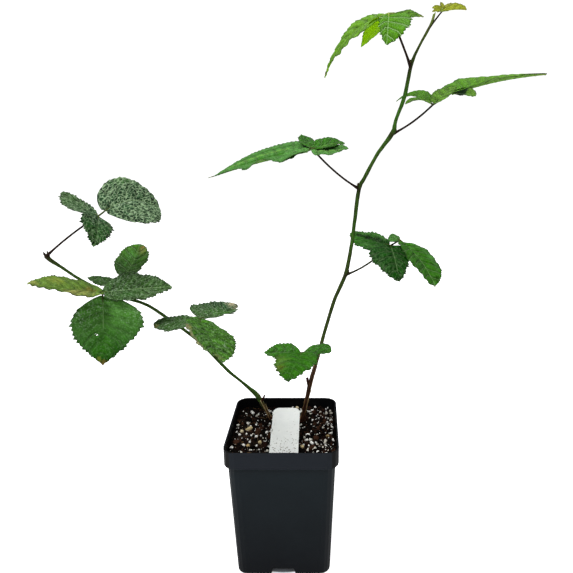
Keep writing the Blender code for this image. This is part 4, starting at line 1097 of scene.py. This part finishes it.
def put_stipules(heap, foot, along, way, seed):
    """A pair of fine threads at the foot of a leaf stalk."""
    side = np.cross(along, way)
    side = side / np.linalg.norm(side)
    dice = random.Random(seed)
    for hand in (-1, 1):
        reach = dice.uniform(1.8, 3.0)
        tip = foot + way * reach * 0.7 + side * hand * reach * 0.45 + np.array([0, 0, reach * 0.5])
        line = stalk_line(foot + way * 1.0 + side * hand * 0.35, tip, 0.12, 0.16, 0.05, 6)
        put_tube(heap, line, 6, "dusky", "stipule", seed)


def put_bud(heap, foot, along, way, size):
    """A small pointed bud in the angle between the cane and a leaf stalk."""
    out = way + along * 1.3
    out = out / np.linalg.norm(out)
    profile = ((0, 0.5), (0.2, 0.85), (0.45, 1.0), (0.7, 0.72), (0.9, 0.36), (1.0, 0.12))
    line = np.array([np.append(foot + along * 0.5 + out * size * (0.2 + run), size * 0.34 * wide) for run, wide in profile])
    put_tube(heap, line, 10, "bud", "stub", 3)


def build_leaf(name, order):
    """One compound leaf: a mesh of blades and a mesh of stalks."""
    leaf = LEAVES[name]
    foot, along = point_on_cane(leaf.cane, leaf.height)
    joint = foot[:3]
    low, high, fresh = STALK_PAINTS.get(name, ("red", "dusky", "stalk_green"))
    thick = STALK_RADIUS * min(1, foot[3] / 0.7)
    blades = [[] for _ in range(5)]
    stalks = Heap()
    count = 0
    for level, (stalk, leaflets) in enumerate(leaf.whorls):
        way = heading_vector(stalk.heading, stalk.pitch)
        junction = joint + way * stalk.length
        line = stalk_line(joint, junction, stalk.rise, thick * (1 - 0.1 * level), thick * (0.9 - 0.1 * level))
        if level == 0:
            line[:, 3] += 0.45 * foot[3] * np.exp(-(np.linspace(0, stalk.length, len(line)) / 3.4) ** 2)
            put_stipules(stalks, joint, along, way, order)
        put_tube(stalks, line, 12, high if level else low, fresh if level else high, order)
        for number, leaflet in enumerate(leaflets):
            pitch = leaflet.pitch + leaflet.droop / 2
            base = junction + heading_vector(leaflet.heading, pitch) * leaflet.stalk
            marks = MARKS.get((name, level, number), {})
            made = list(blade_arrays(leaflet, base, leaf.fold, order * 100 + level * 10 + number, marks))
            made[1] = made[1] + count
            count += len(made[0])
            for bucket, array in zip(blades, made):
                bucket.append(array)
            sunk = np.array([min(2.6 / leaflet.length, 0.35)])
            middle, _, upward = blade_frame(leaflet, base, sunk)
            inner = np.array([np.append(junction, 0.5), np.append((junction + base) / 2, 0.46),
                              np.append(base, LEAFLET_STALK_RADIUS), np.append(middle[0] - upward[0] * 0.5, 0.2)])
            put_tube(stalks, smooth_line(inner, 4), 10, fresh, fresh, number)
        joint = junction
    points, faces, tints, habits, places = (np.concatenate(bucket) for bucket in blades)
    blade_piece = piece_from_arrays(name + "_blades", points, faces.tolist(), green, tints, habits, places)
    stalk_piece = piece_from_arrays(name + "_stalks", stalks.points, stalks.faces, young_bark, stalks.tints)
    for piece in (blade_piece, stalk_piece):
        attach(piece, "root")
    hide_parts(name)
    return len(faces)


for order, name in enumerate(LEAVES):
    print(name, "faces:", build_leaf(name, order))

# %% [markdown]
# The canes are this year's growth: smooth and green above, older and red-brown at the foot.
# They swell a little at every leaf. A pruned stub stands low on the right one, and dry tan
# strands of an old sheath cling to the foot of the left one.

# %% Build the canes
STUBS = {
    "cane_right": ((14.6, 11.7, 101.5, 0.9), (14.0, 11.4, 105, 0.8), (13.6, 11.3, 107.3, 0.75)),
    "cane_left": ((-15.2, 14.6, 89, 0.7), (-13.7, 14.0, 92, 0.6), (-12.6, 13.6, 94.6, 0.5)),
}
STRANDS = {
    "cane_right": (((12.6, 11.4, 84, 0.16), (14.0, 10.8, 92, 0.2), (16.2, 10.2, 100, 0.12)),),
    "cane_left": (
        ((-9.8, 14.2, 78.2, 0.4), (-12.6, 13.6, 85, 0.34), (-15.4, 13.6, 91, 0.2)),
        ((-8.4, 14.4, 78.2, 0.3), (-10.4, 13.8, 83, 0.26), (-12.0, 13.4, 88.6, 0.12)),
    ),
}
CANE_SIDES = 24
BARK_PROUD = {"cane_right": 0.12, "cane_left": 0.18}
TIP_SHEATH = ((73.0, -8.3, 297.0, 0.42), (74.0, -8.4, 299.8, 0.62), (74.9, -8.3, 302.6, 0.2))
END_SCALES = (
    ((-125.2, -2.4, 184, 0.75), (-126.6, -2.6, 186.2, 0.7), (-127.0, -2.6, 187.6, 0.15)),
    ((-124.8, -1.8, 184.6, 0.6), (-125.4, -1.6, 186.6, 0.5), (-125.6, -1.4, 188.2, 0.12)),
)


def cane_paint(name, height, top, angle):
    """The colour at a height and an angle round the cane, streaked along it."""
    streak = noise.noise(Vector((math.cos(angle) * 1.6, math.sin(angle) * 1.6, height * 0.06)))
    spot = noise.noise(Vector((math.cos(angle) * 2.5, math.sin(angle) * 2.5, height * 0.5)))
    if name == "cane_right":
        foot_share = (134 - height) / 14 + 0.6 * streak
        dull = np.interp(height, (130, 185, 195, 205, 225, 240, 268, 275), (1.1, 0.9, 0.2, 0.4, 0.8, 0.3, 0, 0.8))
        shade = blend(BARK["cane_green"], BARK["dull_green"], dull + streak * 0.5)
        shade = blend(shade, BARK["young"], (height - 285) / 30)
    else:
        foot_share = (88 - height) / 8 + 0.5 + streak
        shade = blend(BARK["dull_green"], BARK["cane_green"], 0.5 + 1.5 * streak)
        shade = blend(shade, BARK["node_green"], 1 - abs(height - 93) / 5)
        shade = blend(shade, BARK["dusky"], (height - 175) / 14 + streak)
    nodes = [leaf.height for leaf in LEAVES.values() if leaf.cane == name]
    shade = blend(shade, BARK["red"], max(0.75 * math.exp(-((height - node) / 1.6) ** 2) for node in nodes))
    foot = blend(BARK["foot"], BARK["tan"], 0.15 + streak * 1.4 + spot * 0.6)
    return blend(blend(shade, foot, foot_share), BARK["red"], max(0, spot - 0.25))


def build_cane(name):
    """A cane's bark with its stub and strands in one mesh, standing on the mix."""
    line = smooth_line(CANES[name], 12)
    line[:, 3] += BARK_PROUD[name] * np.clip((line[:, 2] - 100) / 10, 0, 1)
    points, faces = tube_arrays(line, CANE_SIDES, 0.14, 5)
    points = np.array(points)
    points[:, 2] = np.maximum(points[:, 2], 77.5)
    angles = np.tile(np.linspace(0, 2 * math.pi, CANE_SIDES, endpoint=False), len(line))
    heights = np.repeat(line[:, 2], CANE_SIDES)
    bark_heap = Heap()
    bark_heap.put(points, faces, [cane_paint(name, h, line[-1][2], a) for h, a in zip(heights, angles)])
    put_tube(bark_heap, smooth_line(STUBS[name], 6), 14, "foot", "stub", 8, 0.25)
    for strand in STRANDS[name]:
        put_tube(bark_heap, smooth_line(strand, 6), 8, "tan", "sheath", 9, 0.4)
    if name == "cane_right":
        put_tube(bark_heap, smooth_line(TIP_SHEATH, 5), 12, "stalk_green", "young", 2)
    else:
        for scale in END_SCALES:
            put_tube(bark_heap, smooth_line(scale, 4), 10, "bud", "red", 4, 0.3)
    for leaf in LEAVES.values():
        if leaf.cane == name and leaf.height < line[-1][2] - 10:
            spot, along = point_on_cane(name, leaf.height)
            stalk = leaf.whorls[0][0]
            way = heading_vector(stalk.heading, stalk.pitch)
            put_bud(bark_heap, spot[:3] + way * spot[3] * 0.6, along, way, 2.2)
    made = piece_from_arrays(name + "_bark", bark_heap.points, bark_heap.faces, young_bark, bark_heap.tints)
    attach(made, "root")
    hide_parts(name)
    print(name, "faces:", len(bark_heap.faces))


build_cane("cane_right")
build_cane("cane_left")
